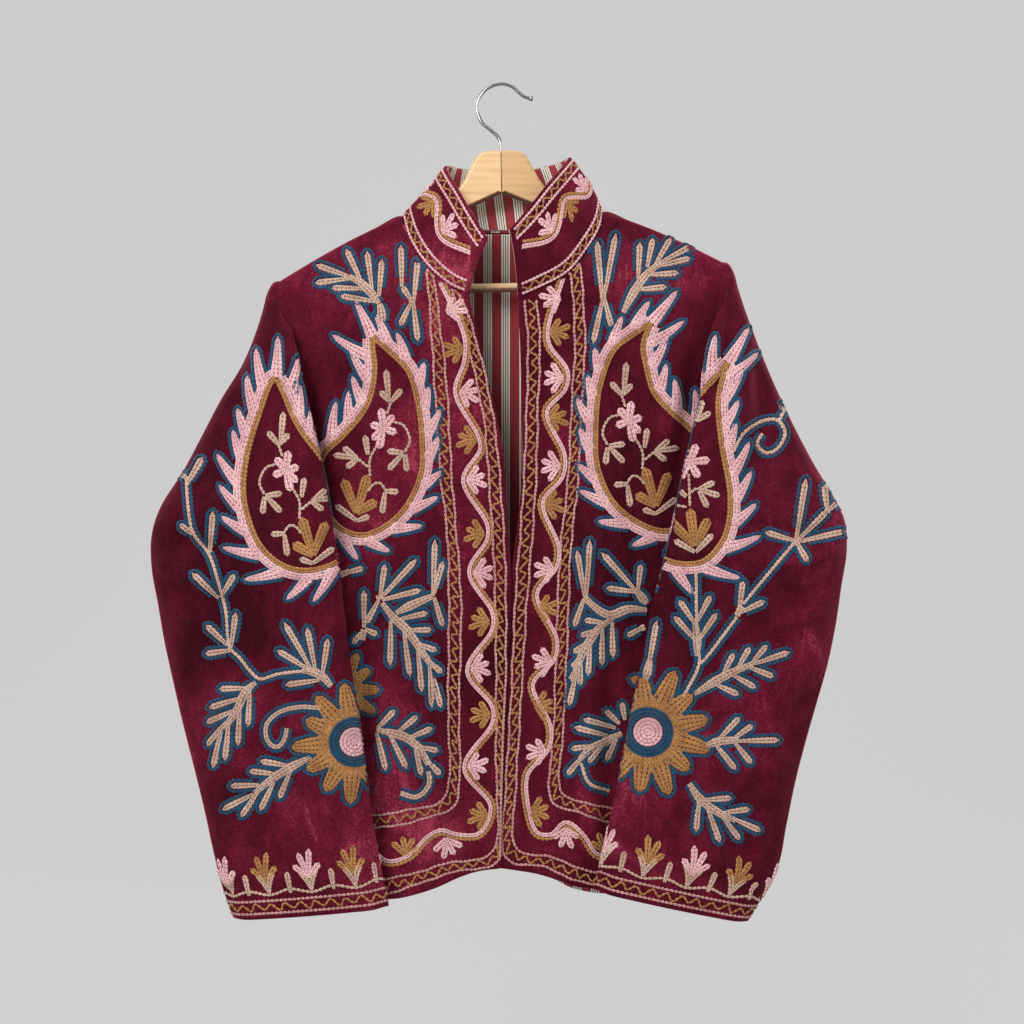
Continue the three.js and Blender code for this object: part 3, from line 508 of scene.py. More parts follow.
def sleeve_ring(row, sign):
    outer, crease, under = (np.array(p, float) for p in row[:3])
    points = []
    for start, end, count, swell in (
        (outer, crease, CAP_ROWS, (0, -row[3], 0)),
        (crease, under, UNDERARM_ROWS, (-sign * CREASE_ROUND, 0, 0)),
        (under, outer, RING_REAR, (0, row[4], 0)),
    ):
        for i in range(count):
            turn = math.pi * i / count
            bulge = math.sin(turn) ** EDGE_BLUNTNESS
            points.append(lerp(start, end, (1 - math.cos(turn)) / 2) + np.array(swell) * bulge)
    return points


def sleeve_rows(half, table, seam):
    drops = [lerp(*SEAM_DROPS, smoothstep(half["tip"][1] - p[2], 0, CAP_DEPTH)) for p in seam]
    run = [p + np.array([half["sign"] * SEAM_RUN, p[1] * SEAM_SPREAD, -d]) for p, d in zip(seam, drops)]
    stations = [seam, run] + [sleeve_ring(row, half["sign"]) for row in table]
    rails = [Curve([station[j] for station in stations]) for j in range(len(seam))]
    return np.array([
        [rail.at((i / SLEEVE_RINGS) ** RING_CROWDING) for rail in rails] for i in range(SLEEVE_RINGS + 1)
    ])


def tucked_under(ring, half):
    """A sleeve's first ring drawn in under the body, least at the shoulder's tip in front."""
    tuck = unit(ring.mean(axis=0) - ring) - np.array([half["sign"], 0, 0])
    under_tip = smoothstep(half["tip"][1] - ring[:, 2], *TUCK_DROP)[:, None]
    behind = smoothstep(ring[:, 1], *TUCK_DEPTH)[:, None]
    share = np.maximum(lerp(FRONT_TIP_TUCK, 1, under_tip), behind * REAR_TIP_TUCK)
    return ring + tuck * SEAM_TUCK * share


def neck_seam(front, back, other, ways):
    first = SHOULDER_COLUMNS

    def line(right, behind, left):
        inner = behind[0][first + 1:first + BACK_NECK_COLUMNS]
        return np.concatenate([right[0][first:][::-1], inner, left[0][first:]])

    edge, normals = line(front, back, other), line(*ways)
    seam = []
    for j, point in enumerate(edge):
        tangent = unit(edge[min(j + 1, len(edge) - 1)] - edge[max(j - 1, 0)])
        off = unit(np.cross(tangent, normals[j]))
        gap = lerp(COLLAR_SIDE_GAP, COLLAR_SEAM_GAP, smoothstep(abs(point[1]), *COLLAR_SIDE_DEPTH))
        seam.append(point + off * gap * np.sign(np.dot(off, NECK_MIDDLE - point)))
    return np.array(seam)


def collar_rows(seam):
    curve = Curve([row[1:] for row in COLLAR_TOP])
    shares = [row[0] for row in COLLAR_TOP]
    steps = np.linalg.norm(np.diff(seam, axis=0), axis=1)
    lengths = summed(steps) / steps.sum()
    rows = [[] for _ in range(COLLAR_ROWS + 1)]
    for foot, share in zip(seam, lengths):
        head = curve.at(np.interp(share, shares, np.linspace(0, 1, len(shares))))
        outward = unit(np.array([foot[0] - MIDDLE_X, foot[1], 0]))
        for i in range(COLLAR_ROWS + 1):
            up = i / COLLAR_ROWS
            swell = outward * COLLAR_SWELL * math.sin(math.pi * up)
            rows[COLLAR_ROWS - i].append(lerp(foot, head, up) + swell)
    return np.array(rows)


# Creases

# Creases, in the plane of the picture: (points x z, width, depth); a positive depth
# is a ridge. They fade at both ends.
FRONT_RIGHT_CREASES = [
    ([(-196, -262), (-190, -330), (-176, -410), (-166, -480)], 9, -2.6),
    ([(-182, -250), (-172, -320), (-160, -400)], 8, 2.2),
    ([(-206, -300), (-200, -360), (-204, -400)], 6, -2.0),
    ([(-92, -520), (-90, -620), (-84, -720), (-80, -815)], 9, -2.2),
    ([(-66, -480), (-60, -600), (-58, -700), (-60, -812)], 6, 2.4),
    ([(-28, -470), (-22, -600), (-20, -700), (-16, -790)], 7, -1.2),
    ([(-120, -560), (-112, -680), (-104, -812)], 10, 2.0),
    ([(-140, -470), (-134, -560), (-132, -700)], 9, -2.2),
    ([(-96, -170), (-120, -230), (-150, -300)], 13, -1.2),
    ([(-160, -200), (-120, -260), (-70, -330)], 14, 1.0),
    ([(-196, -500), (-180, -640), (-172, -800)], 12, 2.6),
    ([(-170, -560), (-156, -700), (-150, -815)], 9, -2.4),
    ([(-222, -520), (-214, -660), (-210, -815)], 10, -2.2),
]
FRONT_LEFT_CREASES = [
    ([(196, -250), (192, -310), (182, -400), (170, -470)], 9, -2.6),
    ([(182, -236), (174, -310), (160, -390)], 8, 2.2),
    ([(208, -290), (202, -350), (208, -396)], 6, -2.0),
    ([(52, -520), (58, -620), (64, -720), (72, -812)], 8, -1.8),
    ([(30, -480), (34, -600), (34, -700), (30, -790)], 6, 1.4),
    ([(92, -540), (88, -640), (92, -740), (96, -812)], 9, 2.2),
    ([(120, -470), (112, -560), (112, -700), (116, -815)], 9, -2.2),
    ([(100, -170), (126, -220), (152, -290)], 13, -1.2),
    ([(168, -190), (126, -250), (74, -320)], 14, 1.0),
    ([(190, -500), (182, -640), (176, -800)], 12, 2.6),
    ([(164, -560), (150, -700), (148, -815)], 9, -2.4),
    ([(220, -520), (214, -660), (210, -815)], 10, -2.2),
]
BACK_CREASES = [
    ([(-190, -262), (-182, -340), (-168, -430)], 10, -2.8),
    ([(-172, -250), (-160, -340), (-150, -420)], 9, 2.2),
    ([(194, -250), (186, -330), (170, -430)], 10, -2.8),
    ([(176, -240), (164, -330), (152, -420)], 9, 2.2),
    ([(-120, -500), (-124, -620), (-130, -815)], 11, -2.6),
    ([(-90, -540), (-98, -680), (-106, -815)], 8, 2.0),
    ([(-34, -420), (-30, -560), (-36, -800)], 12, -2.2),
    ([(30, -470), (36, -620), (34, -800)], 10, -2.0),
    ([(54, -440), (62, -600), (66, -805)], 9, 2.2),
    ([(120, -470), (128, -620), (138, -815)], 12, -2.6),
    ([(150, -560), (160, -700), (168, -818)], 9, 2.2),
    ([(-160, -560), (-166, -700), (-172, -818)], 10, 2.0),
    ([(200, -500), (204, -640), (210, -815)], 10, -2.2),
    ([(-204, -500), (-208, -640), (-212, -815)], 10, -2.2),
    ([(-90, -170), (-40, -186), (20, -188), (84, -170)], 9, -1.4),
    ([(-70, -190), (-20, -206), (40, -204), (90, -188)], 9, 1.0),
    ([(-170, -200), (-110, -260), (-50, -330)], 15, 1.4),
    ([(176, -190), (116, -250), (56, -330)], 15, 1.4),
]
SLEEVE_RIGHT_FRONT = [
    ([(-232, -240), (-222, -300), (-200, -352)], 7, -2.4),
    ([(-244, -262), (-240, -330), (-226, -390)], 9, 2.2),
    ([(-262, -300), (-262, -360), (-250, -430)], 9, -2.2),
    ([(-346, -452), (-300, -470), (-262, -468)], 8, -3.0),
    ([(-344, -486), (-304, -500), (-270, -506)], 7, 2.2),
    ([(-338, -508), (-300, -524), (-250, -520)], 8, -2.6),
    ([(-330, -540), (-290, -548), (-256, -560)], 8, 1.8),
    ([(-160, -470), (-186, -500), (-214, -512)], 8, -2.2),
    ([(-322, -600), (-296, -640), (-286, -700)], 11, -2.0),
    ([(-290, -560), (-270, -650), (-262, -740)], 14, 1.6),
    ([(-220, -560), (-210, -660), (-202, -780)], 14, -1.6),
    ([(-176, -540), (-166, -640), (-158, -760)], 10, 1.4),
    ([(-286, -752), (-250, -768), (-214, -770)], 9, -1.6),
    ([(-274, -822), (-262, -806), (-250, -798)], 5, -1.6),
]
SLEEVE_RIGHT_REAR = [
    ([(-250, -262), (-232, -330), (-226, -396)], 9, -2.6),
    ([(-290, -340), (-262, -400), (-236, -430)], 11, 2.4),
    ([(-340, -450), (-296, -462), (-230, -446)], 9, -3.0),
    ([(-342, -480), (-290, -500), (-220, -482)], 9, 2.6),
    ([(-336, -520), (-280, -530), (-200, -516)], 9, -2.6),
    ([(-320, -600), (-280, -640), (-262, -720)], 12, -2.0),
    ([(-240, -560), (-226, -660), (-216, -780)], 14, 1.8),
    ([(-190, -560), (-176, -660), (-168, -760)], 10, -1.6),
]
SLEEVE_LEFT_FRONT = [
    ([(232, -226), (224, -290), (204, -340)], 7, -2.4),
    ([(246, -250), (242, -320), (230, -380)], 9, 2.2),
    ([(262, -286), (262, -350), (252, -420)], 9, -2.2),
    ([(344, -440), (306, -456), (262, -452)], 8, -3.0),
    ([(345, -470), (300, -484), (262, -492)], 7, 2.2),
    ([(340, -500), (306, -516), (262, -512)], 8, -2.8),
    ([(334, -532), (296, -540), (258, -548)], 8, 1.8),
    ([(168, -450), (192, -486), (222, -500)], 8, -2.2),
    ([(322, -590), (298, -630), (286, -690)], 11, -2.0),
    ([(290, -556), (272, -650), (262, -740)], 14, 1.6),
    ([(216, -560), (204, -660), (196, -780)], 14, -1.6),
    ([(168, -540), (156, -620), (146, -740)], 10, 1.4),
    ([(284, -752), (248, -768), (214, -764)], 9, -1.6),
    ([(262, -826), (250, -808), (240, -800)], 5, -1.6),
]
SLEEVE_LEFT_REAR = [
    ([(252, -250), (236, -320), (230, -390)], 9, -2.6),
    ([(288, -330), (262, -390), (238, -424)], 11, 2.4),
    ([(340, -440), (298, -452), (232, -440)], 9, -3.0),
    ([(344, -476), (292, -494), (222, -476)], 9, 2.6),
    ([(336, -520), (282, -528), (200, -512)], 9, -2.6),
    ([(320, -600), (282, -640), (262, -720)], 12, -2.0),
    ([(236, -560), (222, -660), (208, -780)], 14, 1.8),
    ([(182, -560), (168, -660), (156, -750)], 10, -1.6),
]


def crease_field(points, creases):
    """Sum of the creases' rises at the places of points, by their x and z."""
    flat = points[..., [0, 2]]
    total = np.zeros(flat.shape[:-1])
    for route, width, depth in creases:
        line = Curve(route).sampled(CREASE_STEP)
        shares = np.linspace(0, 1, len(line))
        best = np.full(flat.shape[:-1], 1e9)
        where = np.zeros(flat.shape[:-1])
        for i in range(len(line) - 1):
            a, d = line[i], line[i + 1] - line[i]
            t = np.clip(((flat - a) @ d) / (d @ d), 0, 1)
            distance = np.linalg.norm(flat - a - t[..., None] * d, axis=-1)
            closer = distance < best
            best = np.where(closer, distance, best)
            where = np.where(closer, lerp(shares[i], shares[i + 1], t), where)
        fade = smoothstep(where, 0, CREASE_FADE) * (1 - smoothstep(where, 1 - CREASE_FADE, 1))
        total += CREASE_DEPTH * depth * fade * np.exp(-(best / width) ** 2)
    return total


def creased(grid, ring, outward, creases, rear):
    """The grid moved along its normals by its creases; a ring has its own ones for the rear."""
    normals = normals_of(grid, ring, outward)
    rise = crease_field(grid, creases)
    if rear is not None:
        share = smoothstep(normals[..., 1], *REAR_TURN)
        rise = rise * (1 - share) + crease_field(grid, rear) * share
        rise *= smoothstep(np.abs(normals[..., 1]), *OUTLINE_TURN)
    moved = grid + normals * rise[..., None]
    return moved, normals_of(moved, ring, outward)


# Meshes

def mesh_object(name, vertices, faces, materials, face_materials=None, uvs=None):
    mesh = bpy.data.meshes.new(name)
    vertices = np.asarray(vertices, float) * MM
    faces = np.asarray(faces, np.int32)
    sides = faces.shape[1]
    mesh.vertices.add(len(vertices))
    mesh.vertices.foreach_set("co", vertices.astype(np.float32).ravel())
    mesh.loops.add(faces.size)
    mesh.loops.foreach_set("vertex_index", faces.ravel())
    mesh.polygons.add(len(faces))
    mesh.polygons.foreach_set("loop_start", np.arange(0, faces.size, sides, dtype=np.int32))
    mesh.update(calc_edges=True)
    if uvs is not None:
        layer = mesh.uv_layers.new(name="cloth")
        layer.data.foreach_set("uv", np.asarray(uvs, np.float32)[faces.ravel()].ravel())
    if face_materials is not None:
        mesh.polygons.foreach_set("material_index", np.asarray(face_materials, np.int32))
    mesh.polygons.foreach_set("use_smooth", np.full(len(faces), True))
    for material in materials:
        mesh.materials.append(material)
    mesh.validate()
    mesh.update()
    piece = bpy.data.objects.new(name, mesh)
    bpy.context.scene.collection.objects.link(piece)
    return piece


def quads_of(height, width, start, ring, flip):
    spans = width if ring else width - 1
    i, j = np.meshgrid(np.arange(height - 1), np.arange(spans), indexing="ij")
    k = (j + 1) % width
    a, b = start + i * width + j, start + (i + 1) * width + j
    c, d = start + (i + 1) * width + k, start + i * width + k
    corners = [a, d, c, b] if flip else [a, b, c, d]
    return np.stack(corners, axis=-1).reshape(-1, 4)


def rim_of(height, width, ring):
    """Indices round the free edge of a grid, in order, and whether it is one closed loop."""
    if ring:
        return [np.arange(width), (height - 1) * width + np.arange(width)[::-1]]
    down = np.arange(height) * width
    loop = [np.arange(width), down[1:] + width - 1]
    loop += [(height - 1) * width + np.arange(width - 1)[::-1], down[1:-1][::-1]]
    return [np.concatenate(loop)]


def shell(name, grid, normals, ring, outside, inside, wall, uv):
    """A cloth wall behind an outer grid, with rounded free edges."""
    height, width = grid.shape[:2]
    count = height * width
    vertices = [grid.reshape(-1, 3), (grid - normals * wall).reshape(-1, 3)]
    i, j = height // 2, width // 2
    down, across = grid[i + 1, j] - grid[i - 1, j], grid[i, (j + 1) % width] - grid[i, j]
    flip = np.dot(np.cross(down, across), normals[i, j]) < 0
    faces = [quads_of(height, width, 0, ring, flip), quads_of(height, width, count, ring, not flip)]
    marks = [np.zeros(len(faces[0]), int), np.ones(len(faces[1]), int)]
    flat = grid.reshape(-1, 3)
    centre = 2 * count
    for loop in rim_of(height, width, ring):
        inward = np.empty((len(loop), 3))
        for n, index in enumerate(loop):
            i, j = divmod(index, width)
            step_i = 1 if i == 0 else (-1 if i == height - 1 else 0)
            step_j = 0 if ring else (1 if j == 0 else (-1 if j == width - 1 else 0))
            inward[n] = grid[i + step_i, j + step_j] - grid[i, j]
        middle = flat[loop] - normals.reshape(-1, 3)[loop] * wall / 2 - unit(inward) * RIM_BULGE
        vertices.append(middle)
        n = len(loop)
        now, after = np.arange(n), (np.arange(n) + 1) % n
        outer_quads = [loop[now], loop[after], centre + after, centre + now]
        inner_quads = [centre + now, centre + after, count + loop[after], count + loop[now]]
        start = flat[loop[0]]
        facing = np.cross(flat[loop[1]] - start, middle[0] - start)
        turned = np.dot(facing, inward[0]) > 0
        for corners in (outer_quads, inner_quads):
            quads = np.stack(corners, axis=-1)
            faces.append(quads[:, ::-1] if turned else quads)
            marks.append(np.zeros(len(quads), int))
        centre += n
    vertices = np.concatenate(vertices)
    flat_uv = vertices[:, [0, 2]]
    if uv is not None:
        flat_uv = np.zeros((len(vertices), 2))
        flat_uv[:count] = flat_uv[count:2 * count] = uv.reshape(-1, 2)
    return mesh_object(name, vertices, np.concatenate(faces), [outside, inside],
                       np.concatenate(marks), flat_uv * MM)


def lengths_uv(grid):
    """Cloth lengths across and down a grid, in millimetres."""
    across = np.linalg.norm(np.diff(grid, axis=1), axis=-1).mean(axis=0)
    down = np.linalg.norm(np.diff(grid, axis=0), axis=-1).mean(axis=1)
    return np.stack(np.meshgrid(summed(across), summed(down)), axis=-1)


# Materials

# Striped lining, in metres: where its stripes start, their period, and its threads' steps
STRIPE_START = 10.0057
STRIPE_PERIOD = 0.0186
STRIPE_LINES = 4
WARP_STEP = 0.0007
WEFT_STEP = 0.0009


def rgb(red, green, blue):
    def linear(value):
        value /= 255
        return value / 12.92 if value <= 0.04045 else ((value + 0.055) / 1.055) ** 2.4
    return (linear(red), linear(green), linear(blue), 1)


class Graph:
    """A material's node graph."""

    def __init__(self, name, **values):
        self.material = bpy.data.materials.new(name)
        self.material.use_nodes = True
        self.tree = self.material.node_tree
        self.shader = self.tree.nodes["Principled BSDF"]
        for key, value in values.items():
            self.shader.inputs[key.replace("_", " ")].default_value = value

    def node(self, kind, links=None, **settings):
        made = self.tree.nodes.new("ShaderNode" + kind)
        for key, value in settings.items():
            setattr(made, key, value)
        for key, value in (links or {}).items():
            socket = made.inputs[key]
            if isinstance(value, bpy.types.NodeSocket):
                self.tree.links.new(value, socket)
            else:
                socket.default_value = value
        return made

    def place(self, scale=None):
        out = self.node("TexCoord").outputs["Object"]
        if scale:
            out = self.node("Mapping", {"Vector": out, "Scale": scale}).outputs[0]
        return out

    def cloth(self):
        return self.node("UVMap", uv_map="cloth").outputs[0]

    def noise(self, vector, scale, detail, rough=0.55, warp=0):
        return self.node("TexNoise", {"Vector": vector, "Scale": scale, "Detail": detail,
                                      "Roughness": rough, "Distortion": warp}).outputs["Fac"]

    def math(self, operation, a, b=0.0, c=0.0):
        return self.node("Math", {0: a, 1: b, 2: c}, operation=operation).outputs[0]

    def ramp(self, factor, stops, smooth=True):
        made = self.node("ValToRGB", {"Fac": factor})
        ramp = made.color_ramp
        ramp.interpolation = "EASE" if smooth else "CONSTANT"
        while len(ramp.elements) < len(stops):
            ramp.elements.new(0.5)
        for element, (position, colour) in zip(ramp.elements, stops):
            element.position = position
            element.color = colour
        return made.outputs["Color"]

    def mix(self, factor, a, b, blend="MIX"):
        made = self.node("Mix", data_type="RGBA", blend_type=blend)
        for index, value in ((0, factor), (6, a), (7, b)):
            if isinstance(value, bpy.types.NodeSocket):
                self.tree.links.new(value, made.inputs[index])
            else:
                made.inputs[index].default_value = value
        return made.outputs[2]

    def bump(self, height, distance, strength, normal=None):
        links = {"Height": height, "Distance": distance, "Strength": strength}
        if normal is not None:
            links["Normal"] = normal
        return self.node("Bump", links).outputs[0]

    def set(self, key, socket):
        self.tree.links.new(socket, self.shader.inputs[key])


def grey(value):
    return (value, value, value, 1)


def velvet_material():
    """Burgundy cotton velvet: a short nap, a little crushed, that turns pale where it is brushed, with a
    painted sheen across the lower middle of the body.
    """
    g = Graph("velvet", Roughness=0.9, Sheen_Weight=0.8, Sheen_Roughness=0.34,
              Sheen_Tint=rgb(210, 78, 110), Specular_IOR_Level=0.08)
    place = g.place()
    broad = g.noise(place, 4.2, 3, 0.5, 0.4)
    patches = g.noise(place, 17, 5, 0.62, 0.7)
    strokes = g.noise(g.place(scale=(60, 60, 22)), 1, 4, 0.65, 1.2)
    specks = g.noise(place, 520, 2, 0.7)
    nap_and_sheen = g.math("MULTIPLY", broad, 0.4)
    for layer, share in ((patches, 0.22), (strokes, 0.16), (specks, 0.22)):
        nap_and_sheen = g.math("MULTIPLY_ADD", layer, share, nap_and_sheen)
    # Painted sheen: a paler band across the lower middle of the body, set by height and by nearness to the
    # middle, stands in for light caught by the nap there.
    x, _, z = g.node("SeparateXYZ", {0: place}).outputs
    low = g.ramp(g.math("MULTIPLY", z, -1), [
        (0.5, grey(0)), (0.66, grey(1)), (0.76, grey(0.7)), (0.8, grey(0)),
    ])
    painted_sheen_middle = g.ramp(g.math("ABSOLUTE", x), [(0.1, grey(1)), (0.2, grey(0))])
    nap_and_sheen = g.math("MULTIPLY_ADD", g.math("MULTIPLY", low, painted_sheen_middle), 0.045, nap_and_sheen)
    g.set("Base Color", g.ramp(nap_and_sheen, [
        (0.4, rgb(46, 3, 15)), (0.49, rgb(70, 8, 26)), (0.545, rgb(93, 18, 38)),
        (0.63, rgb(144, 52, 76)),
    ]))
    pile = g.noise(place, 1500, 2, 0.6)
    crush = g.bump(nap_and_sheen, 0.003, 0.4)
    g.set("Normal", g.bump(pile, 0.0005, 0.5, crush))
    return g.material


def lining_material():
    """Striped woven cotton: red with groups of fine black lines on white."""
    g = Graph("striped_lining", Roughness=0.62, Sheen_Weight=0.08, Specular_IOR_Level=0.35)
    cloth = g.cloth()
    u, v, _ = g.node("SeparateXYZ", {0: cloth}).outputs
    share = g.math("FRACT", g.math("DIVIDE", g.math("ADD", u, STRIPE_START), STRIPE_PERIOD))
    white, black, red = rgb(230, 220, 208), rgb(22, 16, 16), rgb(150, 42, 48)
    stops = [(0.0, black)]
    for line in range(STRIPE_LINES):
        stops += [(0.03 + 0.13 * line, white), (0.115 + 0.13 * line, black)]
    stops[-1] = (0.505, black)
    stops.append((0.535, red))
    stripes = g.ramp(share, stops, smooth=False)
    stretched = g.node("Mapping", {"Vector": cloth, "Scale": (2600, 500, 1)}).outputs[0]
    threads = g.node("TexNoise", {"Vector": stretched, "Scale": 1.0, "Detail": 1.0}).outputs["Fac"]
    faded = g.mix(0.22, stripes, g.ramp(threads, [(0.3, grey(0.25)), (0.7, grey(0.75))]), "OVERLAY")
    g.set("Base Color", faded)
    warp = g.math("SINE", g.math("MULTIPLY", u, 2 * math.pi / WARP_STEP))
    weft = g.math("SINE", g.math("MULTIPLY", v, 2 * math.pi / WEFT_STEP))
    weave = g.math("ADD", warp, weft)
    g.set("Normal", g.bump(g.math("ADD", weave, threads), 0.0002, 0.5))
    return g.material


def wood_material(name, lit, pale, deep, under, gloss):
    """Varnished wood with long grain, and painted shade where it faces down."""
    g = Graph(name, Roughness=gloss, Coat_Weight=0.35, Coat_Roughness=0.18)
    grain = g.noise(g.place(scale=(6, 60, 46)), 1, 5, 0.6, 2.2)
    waves = {"Vector": g.place(scale=(1.2, 20, 14)), "Scale": 3.0, "Distortion": 5.0, "Detail": 3.0,
             "Detail Scale": 1.4}
    rings = g.node("TexWave", waves, wave_type="BANDS", bands_direction="Z").outputs["Fac"]
    pores = g.noise(g.place(scale=(120, 900, 900)), 1, 2, 0.7)
    tone = g.math("ADD", g.math("MULTIPLY", grain, 0.72), g.math("MULTIPLY", rings, 0.14))
    tone = g.math("ADD", tone, g.math("MULTIPLY", pores, 0.1))
    body = g.ramp(tone, [(0.2, deep), (0.48, pale), (0.8, lit)])
    # Painted shade: faces that turn downwards are mixed towards the under colour.
    normal = g.node("NewGeometry").outputs["Normal"]
    facing = g.node("SeparateXYZ", {0: normal}).outputs[2]
    down = g.ramp(g.math("MULTIPLY_ADD", facing, -0.5, 0.5), [(0.54, grey(0)), (0.68, grey(1))])
    g.set("Base Color", g.mix(down, body, under))
    g.set("Normal", g.bump(pores, 0.0002, 0.25))
    return g.material


def chrome_material():
    g = Graph("chrome", Metallic=1.0, Base_Color=rgb(150, 148, 146))
    smudge = g.noise(g.place(), 90, 3)
    g.set("Roughness", g.math("MULTIPLY_ADD", smudge, 0.16, 0.06))
    g.set("Normal", g.bump(g.noise(g.place(), 700, 2), 0.0001, 0.15))
    return g.material


def thread_material(name, colour, deep, lit):
    """Chain-stitched cotton thread: links along u, rows across v, in stitches, with painted shade in the
    grooves round each link.
    """
    g = Graph(name, Roughness=0.8, Sheen_Weight=0.15, Specular_IOR_Level=0.2)
    place = g.place()
    sway = g.math("MULTIPLY_ADD", g.noise(place, 150, 2), 0.9, -0.45)
    u, v, _ = g.node("SeparateXYZ", {0: g.cloth()}).outputs
    x = g.math("SUBTRACT", g.math("FRACT", g.math("ADD", u, sway)), 0.5)
    y = g.math("SUBTRACT", g.math("FRACT", v), 0.5)
    x2 = g.math("MULTIPLY", g.math("MULTIPLY", x, x), 3.4)
    y2 = g.math("MULTIPLY", g.math("MULTIPLY", y, y), 4.4)
    radius = g.math("SQRT", g.math("ADD", x2, y2))
    # Painted shade: each link's middle and rim go towards the deep colour, as shade in the grooves of the
    # chain.
    link = g.ramp(radius, [(0.04, grey(0.1)), (0.2, grey(0.45)), (0.44, grey(1)), (0.82, grey(0.92)),
                           (1.05, grey(0.1))])
    wear = g.noise(place, 60, 3)
    strands = g.noise(place, 900, 3, 0.75)
    tint = g.ramp(g.math("MULTIPLY_ADD", strands, 0.6, g.math("MULTIPLY", wear, 0.4)),
                  [(0.36, colour), (0.62, lit)])
    shade = g.node("RGBToBW", {0: link}).outputs[0]
    g.set("Base Color", g.mix(shade, deep, tint))
    g.set("Normal", g.bump(shade, 0.0011, 0.9, g.bump(strands, 0.0005, 0.6)))
    return g.material


VELVET = velvet_material()
LINING = lining_material()
# Each wood: three tones of its grain, then its painted shade on faces that turn down, and its roughness.
PALE_WOOD = wood_material("varnished_wood", rgb(216, 180, 132), rgb(204, 166, 118), rgb(182, 136, 88),
                          rgb(104, 62, 36), 0.42)
# Painted shade: a darker copy of the pale wood, used for the hanger's left arm.
SHADED_WOOD = wood_material("varnished_wood_shaded", rgb(200, 164, 114), rgb(188, 148, 98), rgb(164, 118, 72),
                            rgb(92, 54, 30), 0.42)
BAR_WOOD = wood_material("bar_wood", rgb(226, 196, 152), rgb(206, 170, 124), rgb(164, 124, 84),
                         rgb(110, 76, 50), 0.5)
CHROME = chrome_material()
# Each thread: its colour, its painted shade in the grooves of the links, and its paler strands.
THREADS = {
    "pink": thread_material("thread_pink", rgb(206, 150, 156), rgb(146, 88, 98), rgb(240, 198, 200)),
    "tan": thread_material("thread_tan", rgb(172, 136, 118), rgb(112, 76, 68), rgb(214, 184, 164)),
    "rose": thread_material("thread_rose", rgb(176, 116, 112), rgb(78, 26, 34), rgb(214, 162, 156)),
    "gold": thread_material("thread_gold", rgb(146, 94, 46), rgb(92, 52, 24), rgb(190, 136, 78)),
    "teal": thread_material("thread_teal", rgb(0, 48, 76), rgb(0, 28, 48), rgb(0, 78, 114)),
}
THREAD_ORDER = list(THREADS)

# Places on the cloth

# Rays from behind start at one y; a ray that misses takes what is nearest to where it meets another
REAR_START_Y = 400
FRONT_NEAR_Y = -40
REAR_NEAR_Y = 0


class View:
    """Places on a piece seen from the camera, or from behind along Y, by picture coordinates."""

    def __init__(self, grid, normals, ring, behind=False):
        height, width = grid.shape[:2]
        points = grid.reshape(-1, 3)
        self.normals = normals.reshape(-1, 3)
        self.faces = quads_of(height, width, 0, ring, False)
        self.tree = BVHTree.FromPolygons([Vector(p) for p in points], self.faces.tolist())
        self.behind = behind

    def one(self, px, py):
        across, up = (px - PICTURE / 2) / FOCAL, (PICTURE / 2 - py) / FOCAL
        if self.behind:
            start = Vector((EYE[0] - across * EYE[1], REAR_START_Y, EYE[2] - up * EYE[1]))
            way = Vector((0, -1, 0))
            near = Vector((start.x, REAR_NEAR_Y, start.z))
        else:
            start, way = Vector(EYE), Vector((across, 1, up)).normalized()
            near = start + way * ((FRONT_NEAR_Y - EYE[1]) / way.y)
        place, _, face, _ = self.tree.ray_cast(start, way)
        if place is None:
            place, _, face, _ = self.tree.find_nearest(near)
        return place, self.normals[self.faces[face]].mean(axis=0)

    def __call__(self, points):
        found = [self.one(px, py) for px, py in points]
        return np.array([p for p, _ in found]), unit(np.array([n for _, n in found]))


class Wrap:
    """Places on a piece by lengths in millimetres: along its edge and in from it."""

    def __init__(self, grid, normals, ring, from_last):
        if from_last:
            grid, normals = grid[::-1], normals[::-1]
        if ring:
            grid = np.concatenate([grid, grid[:, :1]], axis=1)
            normals = np.concatenate([normals, normals[:, :1]], axis=1)
        self.grid, self.normals, self.ring = grid, normals, ring
        self.along = summed(np.linalg.norm(np.diff(grid[0], axis=0), axis=1))
        self.length = self.along[-1]
        inward = np.linalg.norm(np.diff(grid, axis=0), axis=-1)
        self.inward = np.concatenate([np.zeros((1, grid.shape[1])), np.cumsum(inward, axis=0)])

    def __call__(self, points):
        places, ways = [], []
        for s, d in points:
            s = s % self.length if self.ring else min(max(s, 0), self.length)
            j = min(int(np.searchsorted(self.along, s, side="right")) - 1, len(self.along) - 2)
            w = (s - self.along[j]) / (self.along[j + 1] - self.along[j])
            depth = lerp(self.inward[:, j], self.inward[:, j + 1], w)
            i = min(max(int(np.searchsorted(depth, d, side="right")) - 1, 0), len(depth) - 2)
            h = (d - depth[i]) / (depth[i + 1] - depth[i])
            for source, kept in ((self.grid, places), (self.normals, ways)):
                low = lerp(source[i, j], source[i, j + 1], w)
                high = lerp(source[i + 1, j], source[i + 1, j + 1], w)
                kept.append(lerp(low, high, h))
        return np.array(places), unit(np.array(ways))


# Stitches

# A link's length, how far a row's edges sink into the nap, and the rows of chain round motifs
CHAIN_LINK = 4.4
THREAD_SINK = 0.7
OUTLINE_WIDTH = 4.0
OUTLINE_HEIGHT = 1.15
LEAF_OUTLINE_GAP = 1.9
STEM_OUTLINE_GAP = 1.8

# Widths of leaves and stems, and how much wider the body of a fan is; a palmette's fingers and the
# degrees between them; a zigzag's reach to each side of the middle, as a share of its band
FAN_LEAF = 7.0
FAN_BODY_EXTRA = 3.2
STEM_LEAF = 7.2
STEM_WIDTH = 4.4
SPRIG_LEAF = 7.4
PALMETTE_FINGERS = 4
PALMETTE_SPREAD = 36
ZIGZAG_REACH = 0.26

